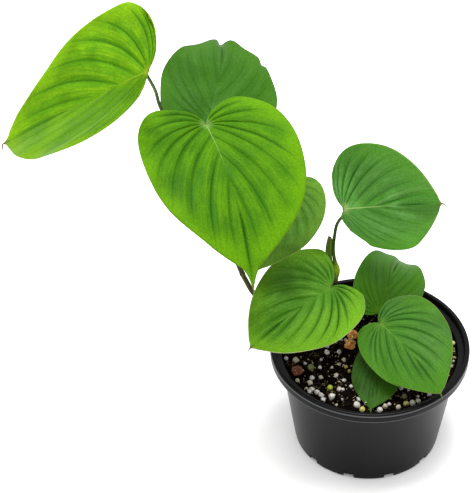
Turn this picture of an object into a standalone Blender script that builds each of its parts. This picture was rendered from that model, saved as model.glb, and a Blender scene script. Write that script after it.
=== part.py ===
"""A climbing foliage plant with heart-shaped, pleated leaves, standing in a round nursery pot.

Lengths are in metres and angles in degrees. The origin is the centre of the pot's underside,
+Z is up and the front of the plant is at -Y. A blade's base is the place where its stalk
meets it.
"""

import math
import random
from collections import namedtuple

import bmesh
import bpy
from mathutils import Vector, noise

# Clearance between neighbouring pieces
GAP = 0.0003

# Pot: a thin-walled round nursery pot. Its wall steps out over a ledge to a collar, whose lip
# turns down into a rim, and its foot has drain slots all round.
POT_HEIGHT = 0.0900
POT_RIM_RADIUS = 0.0760
POT_COLLAR_RADIUS = 0.0715
POT_MOUTH_RADIUS = 0.0670
POT_FOOT_RADIUS = 0.0555
POT_WALL = 0.0015
POT_FLOOR = 0.0020
LEDGE_HEIGHT = 0.0845
LEDGE_RISE = 0.0010
RIM_DEPTH = 0.0078
RIM_WALL = 0.0014
LIP_EDGE = 0.0012
FOOT_EDGE = 0.0012
POT_STEPS = 66
DRAIN_SLOTS = 11
DRAIN_SLOT_WIDTH = 0.0085
DRAIN_SLOT_HEIGHT = 0.0045
DRAIN_SLOT_DEPTH = 0.0060
WALL_SLOPE = (POT_MOUTH_RADIUS + POT_WALL - POT_FOOT_RADIUS) / LEDGE_HEIGHT

# Soil: dark peat whose surface is uneven and studded with round perlite grains
SOIL_LEVEL = 0.0830
SOIL_CROWN = 0.0020
SOIL_LUMP = 0.0022
SOIL_LUMP_SIZE = 0.009
SOIL_RINGS = 17
SOIL_RING_CROWDING = 0.8
SOIL_SECTORS = 66
PERLITE_SHARE = 0.12
PERLITE_HEIGHT = (0.0010, 0.0020)
PERLITE_SEED = 11
STEM_HOLE_DEPTH = 0.024
STEM_HOLE_SIDES = 16

# Bark: flattened bits that lie on the soil
Chip = namedtuple("Chip", "place radius turn colour")
CHIPS = (
    Chip((-0.0556, -0.0241, 0.0860), 0.0045, 20, (0.13, 0.04, 0.03)),
    Chip((-0.0130, 0.0130, 0.0880), 0.0042, 70, (0.36, 0.16, 0.05)),
    Chip((-0.0149, 0.0020, 0.0883), 0.0040, -30, (0.30, 0.13, 0.05)),
)
CHIP_FLATNESS = 0.45
CHIP_ROUGHNESS = 0.25
CHIP_TILT = 6

# Blades: pleats run along the veins that leave the midrib, the last of them at this share of
# its length, and the pleats are fullest about the middle of each vein
BLADE_THICKNESS = 0.0007
VEINS_PER_SIDE = 7
RAYS_PER_SIDE = 2 * VEINS_PER_SIDE
RINGS = 6
LAST_VEIN = 0.60
PLEAT_PER_LENGTH = 0.0050
PLEAT_ONSET = 0.7
PLEAT_SPAN = 0.85
RIPPLES = 3.0
NECK_PER_WIDTH = 0.12
BROADEST_SHARE = 0.35
NECK_SHARE = 0.9

# Stalks and stems
STALK_RADIUS = 0.0012
STALK_FOOT_RADIUS = 0.0017
STALK_LIFT = 0.0040
STALK_TURN = 1.0
STEM_RADIUS = 0.0021
TUBE_STEPS_PER_SPAN = 3

# heading, rise and roll aim a blade from its base. Each pair is for its left and right half,
# seen from above and looking towards the tip. A half is raised by fold along the midrib and
# turns by curl as far as its broadest place; arch bends the midrib down to the tip, and droop
# bends a half down behind the base. widest, lobe and reach place the broadest point and the
# top of the lobe, bow curves the veins, and drip is the share of the length in the thin tip.
Leaf = namedtuple(
    "Leaf",
    "letter base heading rise roll length width fold curl arch droop twist"
    " widest lobe reach bow drip ripple colour",
)
LEAVES = (
    Leaf(
        letter="a", base=(-0.1624, -0.0120, 0.3638), heading=223, rise=5.5, roll=69,
        length=0.1370, width=(0.0556, 0.0557), fold=(-32, 9), curl=(-12, -11), arch=-8,
        droop=(43, 8), twist=7.5, widest=(0.0536, 0.0163), lobe=(0.0042, 0.0063),
        reach=(0.17, 0.67), bow=(32, 17), drip=0.05, ripple=0.0010, colour=(0.16, 0.38, 0.02),
    ),
    Leaf(
        letter="b", base=(-0.1219, 0.0400, 0.2766), heading=74, rise=23, roll=-26,
        length=0.0960, width=(0.0415, 0.0465), fold=(1, 11), curl=(-14, -17), arch=47,
        droop=(12, 12), twist=8, widest=(0.0270, 0.0265), lobe=(0.0190, 0.0195),
        reach=(0.48, 0.50), bow=(43, 41), drip=0.05, ripple=0.0015, colour=(0.05, 0.17, 0.03),
    ),
    Leaf(
        letter="c", base=(-0.1225, -0.0250, 0.3271), heading=-67, rise=-8, roll=12,
        length=0.1285, width=(0.0600, 0.0575), fold=(8, -2), curl=(-1, -8), arch=45,
        droop=(11, 17), twist=6, widest=(0.0305, 0.0325), lobe=(0.0205, 0.0230),
        reach=(0.51, 0.49), bow=(30, 44), drip=0.13, ripple=0.0010, colour=(0.13, 0.33, 0.02),
    ),
    Leaf(
        letter="d", base=(-0.0645, 0.0120, 0.2365), heading=-126, rise=-57, roll=27,
        length=0.0755, width=(0.0360, 0.0370), fold=(-14, -8), curl=(-15, -13), arch=33,
        droop=(7, 8), twist=6, widest=(0.0205, 0.0220), lobe=(0.0125, 0.0160),
        reach=(0.47, 0.50), bow=(45, 43), drip=0.06, ripple=0.0008, colour=(0.08, 0.24, 0.05),
    ),
    Leaf(
        letter="e", base=(-0.0212, 0.0380, 0.1936), heading=-28, rise=27, roll=-49,
        length=0.0805, width=(0.0480, 0.0480), fold=(9, -42), curl=(-8, -25), arch=20,
        droop=(5, 21), twist=7, widest=(0.0190, 0.0245), lobe=(0.0075, 0.0120),
        reach=(0.61, 0.49), bow=(17, 31), drip=0.04, ripple=0.0008, colour=(0.08, 0.27, 0.05),
    ),
    Leaf(
        letter="f", base=(0.0073, 0.0220, 0.1033), heading=72, rise=20, roll=-5,
        length=0.0785, width=(0.0275, 0.0290), fold=(28, 15), curl=(-6, -6), arch=59,
        droop=(3, 8), twist=-6, widest=(0.0210, 0.0210), lobe=(0.0060, 0.0130),
        reach=(0.51, 0.51), bow=(37, 41), drip=0.05, ripple=0.0010, colour=(0.05, 0.18, 0.03),
    ),
    Leaf(
        letter="g", base=(-0.0304, 0.0110, 0.1394), heading=-135, rise=4, roll=21,
        length=0.0815, width=(0.0370, 0.0405), fold=(1, 9), curl=(-12, -13), arch=34,
        droop=(12, 8), twist=-5, widest=(0.0205, 0.0165), lobe=(0.0200, 0.0160),
        reach=(0.48, 0.61), bow=(42, 37), drip=0.04, ripple=0.0010, colour=(0.09, 0.28, 0.03),
    ),
    Leaf(
        letter="h", base=(0.0062, -0.0100, 0.1221), heading=-56, rise=7, roll=-9,
        length=0.0760, width=(0.0390, 0.0295), fold=(10, -21), curl=(-8, -11), arch=44,
        droop=(8, 6), twist=-5, widest=(0.0195, 0.0240), lobe=(0.0140, 0.0105),
        reach=(0.49, 0.44), bow=(40, 34), drip=0.04, ripple=0.0008, colour=(0.07, 0.25, 0.04),
    ),
    Leaf(
        letter="i", base=(0.0054, -0.0140, 0.0979), heading=-98, rise=-10, roll=-3,
        length=0.0535, width=(0.0215, 0.0180), fold=(-8, -8), curl=(-4, -4), arch=9,
        droop=(4, 4), twist=2, widest=(0.0175, 0.0195), lobe=(0.0095, 0.0070),
        reach=(0.49, 0.43), bow=(43, 44), drip=0.06, ripple=0.0005, colour=(0.03, 0.13, 0.02),
    ),
)

STALK_COLOUR = (0.05, 0.10, 0.02)
STEM_COLOUR = (0.11, 0.10, 0.03)
SHEATH_COLOUR = (0.10, 0.11, 0.03)
SOIL_COLOUR = (0.018, 0.012, 0.008)
POT_COLOUR = (0.030, 0.030, 0.032)

# Stems: places along each, the first of them at soil level straight above its hole
STEM_ROUTES = {
    "stem_tall": (
        (-0.0480, 0.026, SOIL_LEVEL), (-0.0482, 0.026, 0.0880), (-0.0540, 0.026, 0.0975),
        (-0.0700, 0.025, 0.1060), (-0.0860, 0.024, 0.1180), (-0.0950, 0.023, 0.1370),
        (-0.1001, 0.022, 0.1527),
        (-0.1054, 0.020, 0.1707), (-0.1105, 0.017, 0.1932), (-0.1155, 0.012, 0.2201),
    ),
    "stem_short": (
        (-0.0300, 0.038, SOIL_LEVEL), (-0.0300, 0.038, 0.0890), (-0.0288, 0.040, 0.1050),
        (-0.0258, 0.043, 0.1195),
    ),
    "stem_low": (
        (0.0040, 0.008, SOIL_LEVEL), (0.0040, 0.008, 0.0880), (0.0040, 0.008, 0.0930),
    ),
}

# Stalks: the stem that each leaves, its place along that stem from 0 to 1 with the heading
# of the side it leaves by, and the places that it passes on its way to its blade
Stalk = namedtuple("Stalk", "stem along side passes")
STALKS = {
    "a": Stalk("stem_tall", 1.00, 180, (
        (-0.1348, 0.013, 0.2622), (-0.1475, 0.017, 0.2870), (-0.1557, 0.018, 0.3080),
        (-0.1586, 0.012, 0.3272),
    )),
    "b": Stalk("stem_tall", 0.80, 90, ((-0.1150, 0.036, 0.2050), (-0.1220, 0.043, 0.2400))),
    "c": Stalk("stem_tall", 0.90, -70, ((-0.1120, -0.004, 0.2350), (-0.1150, -0.014, 0.2800))),
    "d": Stalk("stem_tall", 0.70, 0, ((-0.0850, 0.022, 0.1850), (-0.0700, 0.022, 0.2150))),
    "e": Stalk("stem_short", 1.00, 90, (
        (-0.0265, 0.043, 0.1357), (-0.0279, 0.043, 0.1480), (-0.0274, 0.043, 0.1621),
        (-0.0255, 0.043, 0.1750),
    )),
    "f": Stalk("stem_low", 0.90, 60, ((0.0080, 0.016, 0.0950),)),
    "g": Stalk("stem_short", 0.45, -90, ((-0.0300, 0.028, 0.1080), (-0.0290, 0.019, 0.1260))),
    "h": Stalk("stem_low", 1.00, -60, ((0.0060, 0.002, 0.1030),)),
    "i": Stalk("stem_low", 0.60, -90, ((0.0040, -0.002, 0.0900),)),
}

# Sheath: the dry bud sheath beside the short shoot's youngest stalk
SHEATH_ROUTE = (
    (-0.0285, 0.0425, 0.1230), (-0.0307, 0.0422, 0.1350), (-0.0318, 0.0420, 0.1480),
    (-0.0316, 0.0420, 0.1622),
)
SHEATH_RADIUS = 0.0024
SHEATH_TIP_RADIUS = 0.0020


def clear_scene():
    for old in list(bpy.data.objects):
        bpy.data.objects.remove(old, do_unlink=True)


def new_collection(name):
    collection = bpy.data.collections.new(name)
    bpy.context.scene.collection.children.link(collection)
    return collection


def material(name, colour, roughness):
    made = bpy.data.materials.new(name)
    made.use_nodes = True
    shader = made.node_tree.nodes["Principled BSDF"]
    shader.inputs["Base Color"].default_value = (*colour, 1.0)
    shader.inputs["Roughness"].default_value = roughness
    shader.inputs["Metallic"].default_value = 0.0
    made.diffuse_color = (*colour, 1.0)
    return made


def add_object(name, data, collection, finish=None):
    made = bpy.data.objects.new(name, data)
    if finish:
        made.data.materials.append(finish)
    collection.objects.link(made)
    return made


def grid_mesh(name, columns, rows, place, weld=1e-6):
    """A grid whose points are moved to place(column, row), welded where they meet."""
    sheet = bmesh.new()
    bmesh.ops.create_grid(sheet, x_segments=columns, y_segments=rows, size=1.0)
    for vert in sheet.verts:
        column = round((vert.co.x + 1) / 2 * columns)
        row = round((vert.co.y + 1) / 2 * rows)
        vert.co = place(column, row)
    bmesh.ops.remove_doubles(sheet, verts=sheet.verts, dist=weld)
    bmesh.ops.triangulate(sheet, faces=sheet.faces)
    mesh = bpy.data.meshes.new(name)
    sheet.to_mesh(mesh)
    sheet.free()
    return mesh


def bezier(a, b, c, d, t):
    s = 1 - t
    return s * s * s * a + 3 * s * s * t * b + 3 * s * t * t * c + t * t * t * d


def bearing(angle):
    """The direction on a flat blade at an angle from the way to the tip."""
    return Vector((math.sin(math.radians(angle)), math.cos(math.radians(angle))))


def margin_point(leaf, half, share):
    """A place on a half's outline, from the top of its lobe at share 0 to the tip at 1."""
    width = leaf.width[half]
    lobe_top = Vector((leaf.reach[half] * width, -leaf.lobe[half]))
    broadest = Vector((width, leaf.widest[half]))
    neck = Vector((NECK_PER_WIDTH * width, leaf.length * (1 - leaf.drip)))
    tip = Vector((0, leaf.length))
    if share < BROADEST_SHARE:
        out = Vector(((lobe_top.x + width) / 2, lobe_top.y))
        back = Vector((width, broadest.y - 0.55 * (broadest.y - lobe_top.y)))
        return bezier(lobe_top, out, back, broadest, share / BROADEST_SHARE)
    if share < NECK_SHARE:
        out = Vector((width, broadest.y + 0.48 * (neck.y - broadest.y)))
        back = Vector((neck.x + 0.42 * width, neck.y - 0.14 * leaf.length))
        along = (share - BROADEST_SHARE) / (NECK_SHARE - BROADEST_SHARE)
        return bezier(broadest, out, back, neck, along)
    out = neck + Vector((-0.5 * neck.x, 0.25 * leaf.drip * leaf.length))
    back = Vector((0.25 * neck.x, leaf.length * (1 - 0.4 * leaf.drip)))
    return bezier(neck, out, back, tip, (share - NECK_SHARE) / (1 - NECK_SHARE))


def vein_point(leaf, half, spread, along):
    """A place on the flat blade: spread runs from the midrib at 0 to the lobe's inner edge
    at 1, and along runs from the vein's start to the margin."""
    start = Vector((0, LAST_VEIN * leaf.length * max(0.0, 1 - 2 * spread) ** 1.2))
    end = margin_point(leaf, half, 1 - spread)
    chord = end - start
    straight = math.degrees(math.atan2(chord.x, chord.y))
    bow = leaf.bow[half] * spread**0.6
    reach = 0.38 * chord.length
    first = start + reach * bearing(straight + bow)
    second = end - reach * bearing(straight - bow)
    return bezier(start, first, second, end, along)


def leaf_axes(leaf):
    """The blade's directions at its base: to the tip, to its right, and out of its top."""
    heading, rise, roll = (math.radians(a) for a in (leaf.heading, leaf.rise, leaf.roll))
    ahead = Vector((math.cos(heading), math.sin(heading), 0))
    upward = Vector((0, 0, 1))
    tipward = ahead * math.cos(rise) + upward * math.sin(rise)
    level = tipward.cross(upward).normalized()
    above = level.cross(tipward)
    right = level * math.cos(roll) + above * math.sin(roll)
    return tipward, right, above * math.cos(roll) - level * math.sin(roll)


def bent(start_angle, turn, distance):
    """How far across and up a strip reaches that starts at an angle and turns evenly."""
    if abs(turn) < 1e-6:
        return distance * math.cos(start_angle), distance * math.sin(start_angle)
    end_angle = start_angle + turn * distance
    across = (math.sin(end_angle) - math.sin(start_angle)) / turn
    return across, (math.cos(start_angle) - math.cos(end_angle)) / turn


def blade_point(leaf, half, flat, lift):
    """The world place of a flat blade point, raised from the blade by lift."""
    tipward, right, above = leaf_axes(leaf)
    side = 1 if half else -1
    curl = math.radians(leaf.curl[half]) / leaf.width[half]
    across, up = bent(math.radians(leaf.fold[half]), curl, flat.x)
    across, up = side * across, up + lift
    if flat.y > 0:
        turn = -math.radians(leaf.arch) / leaf.length
        slope = turn * flat.y
        forward, rise = bent(0, turn, flat.y)
    else:
        turn = -math.radians(leaf.droop[half]) / leaf.lobe[half]
        slope = -turn * -flat.y
        forward, rise = bent(0, turn, -flat.y)
        forward = -forward
    twist = math.radians(leaf.twist) * flat.y / leaf.length
    across, up = (
        across * math.cos(twist) - up * math.sin(twist),
        across * math.sin(twist) + up * math.cos(twist),
    )
    forward -= up * math.sin(slope)
    rise += up * math.cos(slope)
    return Vector(leaf.base) + forward * tipward + across * right + rise * above


def pleat(leaf, half, spread, along):
    """How far the blade stands above its even surface: down at veins, up between them."""
    fullness = math.sin(math.pi * PLEAT_SPAN * along**PLEAT_ONSET)
    wave = -math.cos(2 * math.pi * VEINS_PER_SIDE * spread)
    ripple = leaf.ripple * along**2 * math.sin(2 * math.pi * RIPPLES * spread + 2 * half)
    return PLEAT_PER_LENGTH * leaf.length * fullness * wave + ripple * min(1.0, 6 * spread)


def blade(leaf, collection):
    def place(column, row):
        half = 1 if column > RAYS_PER_SIDE else 0
        spread = abs(column - RAYS_PER_SIDE) / RAYS_PER_SIDE
        along = row / RINGS
        flat = vein_point(leaf, half, spread, along)
        return blade_point(leaf, half, flat, pleat(leaf, half, spread, along))

    name = "leaf_" + leaf.letter
    mesh = grid_mesh(name, 2 * RAYS_PER_SIDE, RINGS, place)
    mesh.shade_smooth()
    made = add_object(name, mesh, collection, material(name, leaf.colour, 0.45))
    wall = made.modifiers.new("thickness", "SOLIDIFY")
    wall.thickness = BLADE_THICKNESS
    wall.offset = 0.0
    return made


def smooth_route(points, steps):
    """Points along a smooth curve through the given places, which it keeps."""
    ends = [2 * points[0] - points[1], *points, 2 * points[-1] - points[-2]]
    route = []
    for before, here, there, after in zip(ends, ends[1:], ends[2:], ends[3:]):
        reach = (there - here).length / 3
        way_out = reach * (there - before).normalized()
        way_in = reach * (after - here).normalized()
        for step in range(steps):
            route.append(bezier(here, here + way_out, there - way_in, there, step / steps))
    return [*route, points[-1]]


def tube(name, route, first_radius, last_radius, collection, finish):
    """A round stem along a route, tapering evenly."""
    curve = bpy.data.curves.new(name, "CURVE")
    curve.dimensions = "3D"
    curve.bevel_depth = 1.0
    curve.bevel_resolution = 2
    curve.use_fill_caps = True
    spline = curve.splines.new("POLY")
    spline.points.add(len(route) - 1)
    for index, (point, place) in enumerate(zip(spline.points, route)):
        share = index / (len(route) - 1)
        point.co = (*place, 1.0)
        point.radius = first_radius + (last_radius - first_radius) * share
    return add_object(name, curve, collection, finish)


def stem_points(name):
    places = [Vector(place) for place in STEM_ROUTES[name]]
    route = smooth_route(places, TUBE_STEPS_PER_SPAN)
    foot = places[0] - Vector((0, 0, STEM_HOLE_DEPTH - GAP))
    return [foot, *route]


def stem_place(name, share):
    """A place along a stem's visible length and the stem's direction there."""
    route = stem_points(name)[1:]
    spot = share * (len(route) - 1)
    index = min(int(spot), len(route) - 2)
    here, there = route[index], route[index + 1]
    return here.lerp(there, spot - index), (there - here).normalized()


def stalk(leaf, collection, finish):
    plan = STALKS[leaf.letter]
    place, along = stem_place(plan.stem, plan.along)
    passes = [Vector(place) for place in plan.passes]
    if plan.along < 1:
        side = math.radians(plan.side)
        outward = Vector((math.cos(side), math.sin(side), 0))
        outward = (outward - outward.dot(along) * along).normalized()
        start = place + (STEM_RADIUS + GAP + STALK_FOOT_RADIUS * math.cos(math.pi / 4)) * outward
        along = (outward + along).normalized()
    else:
        start = place + 2 * GAP * along
    above = leaf_axes(leaf)[2]
    base = Vector(leaf.base)
    downward = ((passes[-1] - base).normalized() - STALK_TURN * above).normalized()
    tilt = math.acos(-downward.dot(above))
    droop = math.radians(max(0, -min(leaf.fold)))
    clear = BLADE_THICKNESS / 2 + GAP + STALK_RADIUS * math.tan(droop + tilt / 2)
    end = base - clear * above
    near = [start, start + STALK_LIFT * along]
    far = [end + STALK_LIFT * downward, end]
    route = smooth_route([*near, *passes, *far], TUBE_STEPS_PER_SPAN)
    name = "stalk_" + leaf.letter
    return tube(name, route, STALK_FOOT_RADIUS, STALK_RADIUS, collection, finish)


def sheath(collection, finish):
    route = smooth_route([Vector(place) for place in SHEATH_ROUTE], TUBE_STEPS_PER_SPAN)
    return tube("sheath", route, SHEATH_RADIUS, SHEATH_TIP_RADIUS, collection, finish)


def pot_profile():
    """The pot's section from the middle of its floor up inside, over the lip and down."""
    floor_corner = POT_FLOOR + FOOT_EDGE
    collar_foot = LEDGE_HEIGHT + LEDGE_RISE
    lip_inside = POT_COLLAR_RADIUS + LIP_EDGE / 2
    rim_foot = POT_HEIGHT - RIM_DEPTH
    rim_inside = POT_RIM_RADIUS - RIM_WALL
    rim_channel = POT_HEIGHT - 2 * LIP_EDGE
    under_ledge = LEDGE_HEIGHT - POT_WALL
    return [
        (0, POT_FLOOR),
        (POT_FOOT_RADIUS - POT_WALL - FOOT_EDGE, POT_FLOOR),
        (POT_FOOT_RADIUS - POT_WALL + WALL_SLOPE * floor_corner, floor_corner),
        (POT_MOUTH_RADIUS, LEDGE_HEIGHT),
        (POT_COLLAR_RADIUS, collar_foot),
        (lip_inside, POT_HEIGHT - LIP_EDGE),
        (lip_inside + LIP_EDGE, POT_HEIGHT),
        (POT_RIM_RADIUS - 1.5 * LIP_EDGE, POT_HEIGHT),
        (POT_RIM_RADIUS - LIP_EDGE / 2, POT_HEIGHT - LIP_EDGE / 2),
        (POT_RIM_RADIUS, POT_HEIGHT - 1.5 * LIP_EDGE),
        (POT_RIM_RADIUS - LIP_EDGE / 4, rim_foot),
        (rim_inside - LIP_EDGE / 4, rim_foot),
        (rim_inside, rim_channel),
        (POT_COLLAR_RADIUS + POT_WALL, rim_channel),
        (POT_COLLAR_RADIUS + POT_WALL, collar_foot - POT_WALL),
        (POT_FOOT_RADIUS + WALL_SLOPE * under_ledge, under_ledge),
        (POT_FOOT_RADIUS + WALL_SLOPE * FOOT_EDGE, FOOT_EDGE),
        (POT_FOOT_RADIUS - FOOT_EDGE, 0),
        (0, 0),
    ]


def pot(collection, cutters):
    profile = bmesh.new()
    corners = [profile.verts.new((radius, 0, height)) for radius, height in pot_profile()]
    for here, there in zip(corners, corners[1:]):
        profile.edges.new((here, there))
    mesh = bpy.data.meshes.new("pot")
    profile.to_mesh(mesh)
    profile.free()
    made = add_object("pot", mesh, collection, material("pot", POT_COLOUR, 0.35))
    turn = made.modifiers.new("turn", "SCREW")
    turn.steps = POT_STEPS
    turn.render_steps = POT_STEPS
    turn.use_merge_vertices = True
    turn.merge_threshold = 0.00001
    turn.use_normal_calculate = True
    for slot in range(DRAIN_SLOTS):
        angle = 2 * math.pi * (slot + 0.5) / DRAIN_SLOTS - math.pi / 2
        outward = Vector((math.cos(angle), math.sin(angle), 0))
        bpy.ops.mesh.primitive_cube_add(size=1)
        cutter = bpy.context.object
        cutter.name = f"drain_slot_{slot + 1}"
        cutter.scale = (2 * DRAIN_SLOT_DEPTH, DRAIN_SLOT_WIDTH, 2 * DRAIN_SLOT_HEIGHT)
        cutter.rotation_euler.z = angle
        cutter.location = POT_FOOT_RADIUS * outward
        move_to(cutter, cutters)
        as_cutter(cutter)
    cut = made.modifiers.new("drain slots", "BOOLEAN")
    cut.operand_type = "COLLECTION"
    cut.collection = cutters
    return made


def move_to(obj, collection):
    for owner in list(obj.users_collection):
        owner.objects.unlink(obj)
    collection.objects.link(obj)


def as_cutter(obj):
    obj.hide_render = True
    obj.display_type = "WIRE"


def soil_profile():
    """The soil's section below its surface: down the wall and in to the middle of its floor."""
    floor = POT_FLOOR + GAP
    corner = floor + FOOT_EDGE
    foot_radius = POT_FOOT_RADIUS - POT_WALL - 2 * GAP
    return (
        (foot_radius + WALL_SLOPE * corner, corner),
        (foot_radius - FOOT_EDGE, floor),
        (0, floor),
    )


def soil(collection, cutters):
    top_radius = POT_FOOT_RADIUS - POT_WALL - 2 * GAP + WALL_SLOPE * SOIL_LEVEL
    grains = random.Random(PERLITE_SEED)
    sizes = {}
    for ring in range(1, SOIL_RINGS):
        for sector in range(SOIL_SECTORS):
            shows = grains.random() < PERLITE_SHARE
            sizes[ring, sector] = grains.uniform(*PERLITE_HEIGHT) if shows else 0.0

    def place(column, row):
        sector = row % SOIL_SECTORS
        angle = 2 * math.pi * sector / SOIL_SECTORS
        outward = Vector((math.cos(angle), math.sin(angle), 0))
        if column > SOIL_RINGS:
            radius, height = soil_profile()[column - SOIL_RINGS - 1]
            return radius * outward + Vector((0, 0, height))
        share = (column / SOIL_RINGS) ** SOIL_RING_CROWDING
        spot = share * top_radius * outward
        lump = SOIL_LUMP * noise.noise(spot / SOIL_LUMP_SIZE) * (1 - share**6)
        level = SOIL_LEVEL + SOIL_CROWN * (1 - share**2) + lump
        return spot + Vector((0, 0, level + sizes.get((column, sector), 0.0)))

    mesh = grid_mesh("soil", SOIL_RINGS + len(soil_profile()), SOIL_SECTORS, place)
    made = add_object("soil", mesh, collection, material("soil", SOIL_COLOUR, 0.95))
    for name, route in STEM_ROUTES.items():
        bpy.ops.mesh.primitive_cylinder_add(
            vertices=STEM_HOLE_SIDES, radius=STEM_RADIUS + 2 * GAP, depth=2 * STEM_HOLE_DEPTH
        )
        cutter = bpy.context.object
        cutter.name = name + "_hole"
        cutter.location = route[0]
        move_to(cutter, cutters)
        as_cutter(cutter)
    cut = made.modifiers.new("stem holes", "BOOLEAN")
    cut.operand_type = "COLLECTION"
    cut.collection = cutters
    return made


def bark_chip(number, chip, collection):
    """A bit of bark: a flattened lump with an uneven surface."""
    bpy.ops.mesh.primitive_ico_sphere_add(subdivisions=2, radius=chip.radius)
    made = bpy.context.object
    made.name = f"bark_chip_{number}"
    made.data.name = made.name
    for vert in made.data.vertices:
        spot = 1.3 * vert.co / chip.radius + Vector((number, 0, 0))
        vert.co *= 1 + CHIP_ROUGHNESS * noise.noise(spot)
        vert.co.z *= CHIP_FLATNESS
    made.rotation_euler = (math.radians(CHIP_TILT), 0, math.radians(chip.turn))
    made.location = chip.place
    made.data.materials.append(material(made.name, chip.colour, 0.8))
    move_to(made, collection)
    return made


def main():
    clear_scene()
    plant = new_collection("potted_philodendron")
    pot_cutters = new_collection("pot_cutters")
    soil_cutters = new_collection("soil_cutters")
    pot(plant, pot_cutters)
    soil(plant, soil_cutters)
    for number, chip in enumerate(CHIPS, 1):
        bark_chip(number, chip, plant)
    stem_finish = material("stem", STEM_COLOUR, 0.5)
    stalk_finish = material("stalk", STALK_COLOUR, 0.45)
    for name in STEM_ROUTES:
        tube(name, stem_points(name), STEM_RADIUS, STEM_RADIUS, plant, stem_finish)
    for leaf in LEAVES:
        stalk(leaf, plant, stalk_finish)
        blade(leaf, plant)
    sheath(plant, material("sheath", SHEATH_COLOUR, 0.6))


main()
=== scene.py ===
"""Looks of a climbing foliage plant with heart-shaped, pleated leaves in a black nursery pot.

Lengths are in metres and angles in degrees, in the frame's own axes: the origin is the centre
of the pot's underside, +Z is up and the front of the plant is at -Y. A blade's base is the
place where its stalk meets it. Places that start with SEEN_ are pixels of the photograph, which
is 474 by 493, and are cast along the camera's rays onto the soil.
"""

import math
import random
from collections import namedtuple

import bmesh
import bpy
from mathutils import Matrix, Vector, noise


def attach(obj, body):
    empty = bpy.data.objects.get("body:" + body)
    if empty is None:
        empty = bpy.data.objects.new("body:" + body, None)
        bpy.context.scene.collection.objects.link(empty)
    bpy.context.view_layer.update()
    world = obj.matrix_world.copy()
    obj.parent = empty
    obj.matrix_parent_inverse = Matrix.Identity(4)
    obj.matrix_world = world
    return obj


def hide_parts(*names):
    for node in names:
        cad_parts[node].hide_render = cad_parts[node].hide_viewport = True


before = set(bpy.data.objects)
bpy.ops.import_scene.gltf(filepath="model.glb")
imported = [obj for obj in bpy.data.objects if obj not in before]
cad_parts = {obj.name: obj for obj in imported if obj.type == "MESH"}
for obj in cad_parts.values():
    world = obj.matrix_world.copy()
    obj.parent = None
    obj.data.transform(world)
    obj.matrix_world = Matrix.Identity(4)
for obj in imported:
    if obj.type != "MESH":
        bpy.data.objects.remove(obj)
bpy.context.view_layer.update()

WHITE = (1.0, 1.0, 1.0, 1.0)
BLACK = (0.0, 0.0, 0.0, 1.0)

# The running gap between pieces that sit on or in each other, and how near two points of a
# mesh have to be to be joined
GAP = 0.0003
SAME_POINT = 1e-6

# Camera: its place, how far it looks down, and its focal length in pixels of the photograph
PHOTO_WIDTH = 474
PHOTO_HEIGHT = 493
CAMERA_PLACE = Vector((-0.1009, -1.5330, 1.5656))
CAMERA_DOWN = 41.9
FOCAL_PIXELS = 2800
SENSOR_HEIGHT = 36.0

# Pot
POT_HEIGHT = 0.0900
POT_RIM_RADIUS = 0.0760
POT_COLLAR_RADIUS = 0.0715
POT_MOUTH_RADIUS = 0.0670
POT_FOOT_RADIUS = 0.0555
POT_WALL = 0.0015
POT_FLOOR = 0.0020
LEDGE_HEIGHT = 0.0845
LEDGE_RISE = 0.0010
RIM_DEPTH = 0.0078
RIM_WALL = 0.0014
LIP_EDGE = 0.0012
LIP_ROUND = 0.0021
FOOT_ROUND = 0.0022
LEDGE_ROUND = 0.0006
UNDER_LEDGE_ROUND = 0.0008
COLLAR_ROUND = 0.0011
CHANNEL_ROUND = 0.0004
RIM_FOOT_ROUND = 0.0004
RIM_INNER_ROUND = 0.0003
POT_STEPS = 176
POT_SHARP_ANGLE = 38
DRAIN_SLOTS = 11
DRAIN_SLOT_WIDTH = 0.0085
DRAIN_SLOT_HEIGHT = 0.0045
DRAIN_SLOT_DEPTH = 0.0060
DRAIN_SLOT_ROUND = 0.0006
WALL_SLOPE = (POT_MOUTH_RADIUS + POT_WALL - POT_FOOT_RADIUS) / LEDGE_HEIGHT

# The painted highlight lines: one under the rim's rounding and one on the foot of the rim
LIP_HIGHLIGHT_DEPTH = 0.0019
RIM_FOOT_HIGHLIGHT = 0.0007

# Soil
SOIL_LEVEL = 0.0830
SOIL_CROWN = 0.0020
SOIL_LUMP = 0.0022
SOIL_LUMP_SIZE = 0.009
SOIL_CLOD = 0.0011
SOIL_CLOD_SIZE = 0.0030
CLOD_SINK = 0.3
SOIL_CRUMB = 0.0005
SOIL_CRUMB_SIZE = 0.0011
SOIL_TONE_SIZE = 0.004
SOIL_RINGS = 96
SOIL_SECTORS = 264
SOIL_RADIUS = POT_FOOT_RADIUS - POT_WALL - 2 * GAP + WALL_SLOPE * SOIL_LEVEL

# Blades: counts of veins, rays and rows, and how the rays and rows crowd together. The pleats
# rise between the veins and are creased down at them. The underside is thicker along the midrib
# and the veins, whose grooves fade where two veins draw near each other or reach the margin.
VEINS_PER_SIDE = 9
FINE_VEINS = 4
RAYS_PER_GAP = 10
RAY_CROWDING = 0.55
BLADE_ROWS = 50
ROW_CROWDING = 1.5
LAST_VEIN = 0.58
VEIN_START_CROWDING = 1.8
VEIN_HANDLE = 0.38
VEIN_BOW_GROWTH = 0.6
PLEAT_PER_LENGTH = 0.0064
FINE_PLEAT = 0.40
PLEAT_VARIATION = 0.55
PLEAT_ONSET = 0.7
PLEAT_SPAN = 1.10
PLEAT_SHARPNESS = 1.15
RIPPLES = 3.0
NECK_PER_WIDTH = 0.12
BROADEST_SHARE = 0.35
NECK_SHARE = 0.9
LOBE_FULLNESS = 0.55
SIDE_FULLNESS = 0.48
NECK_OUTWARD = 0.42
NECK_BACKWARD = 0.14
DRIP_FULLNESS = 0.25
DRIP_SLENDERNESS = 0.4
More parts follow.
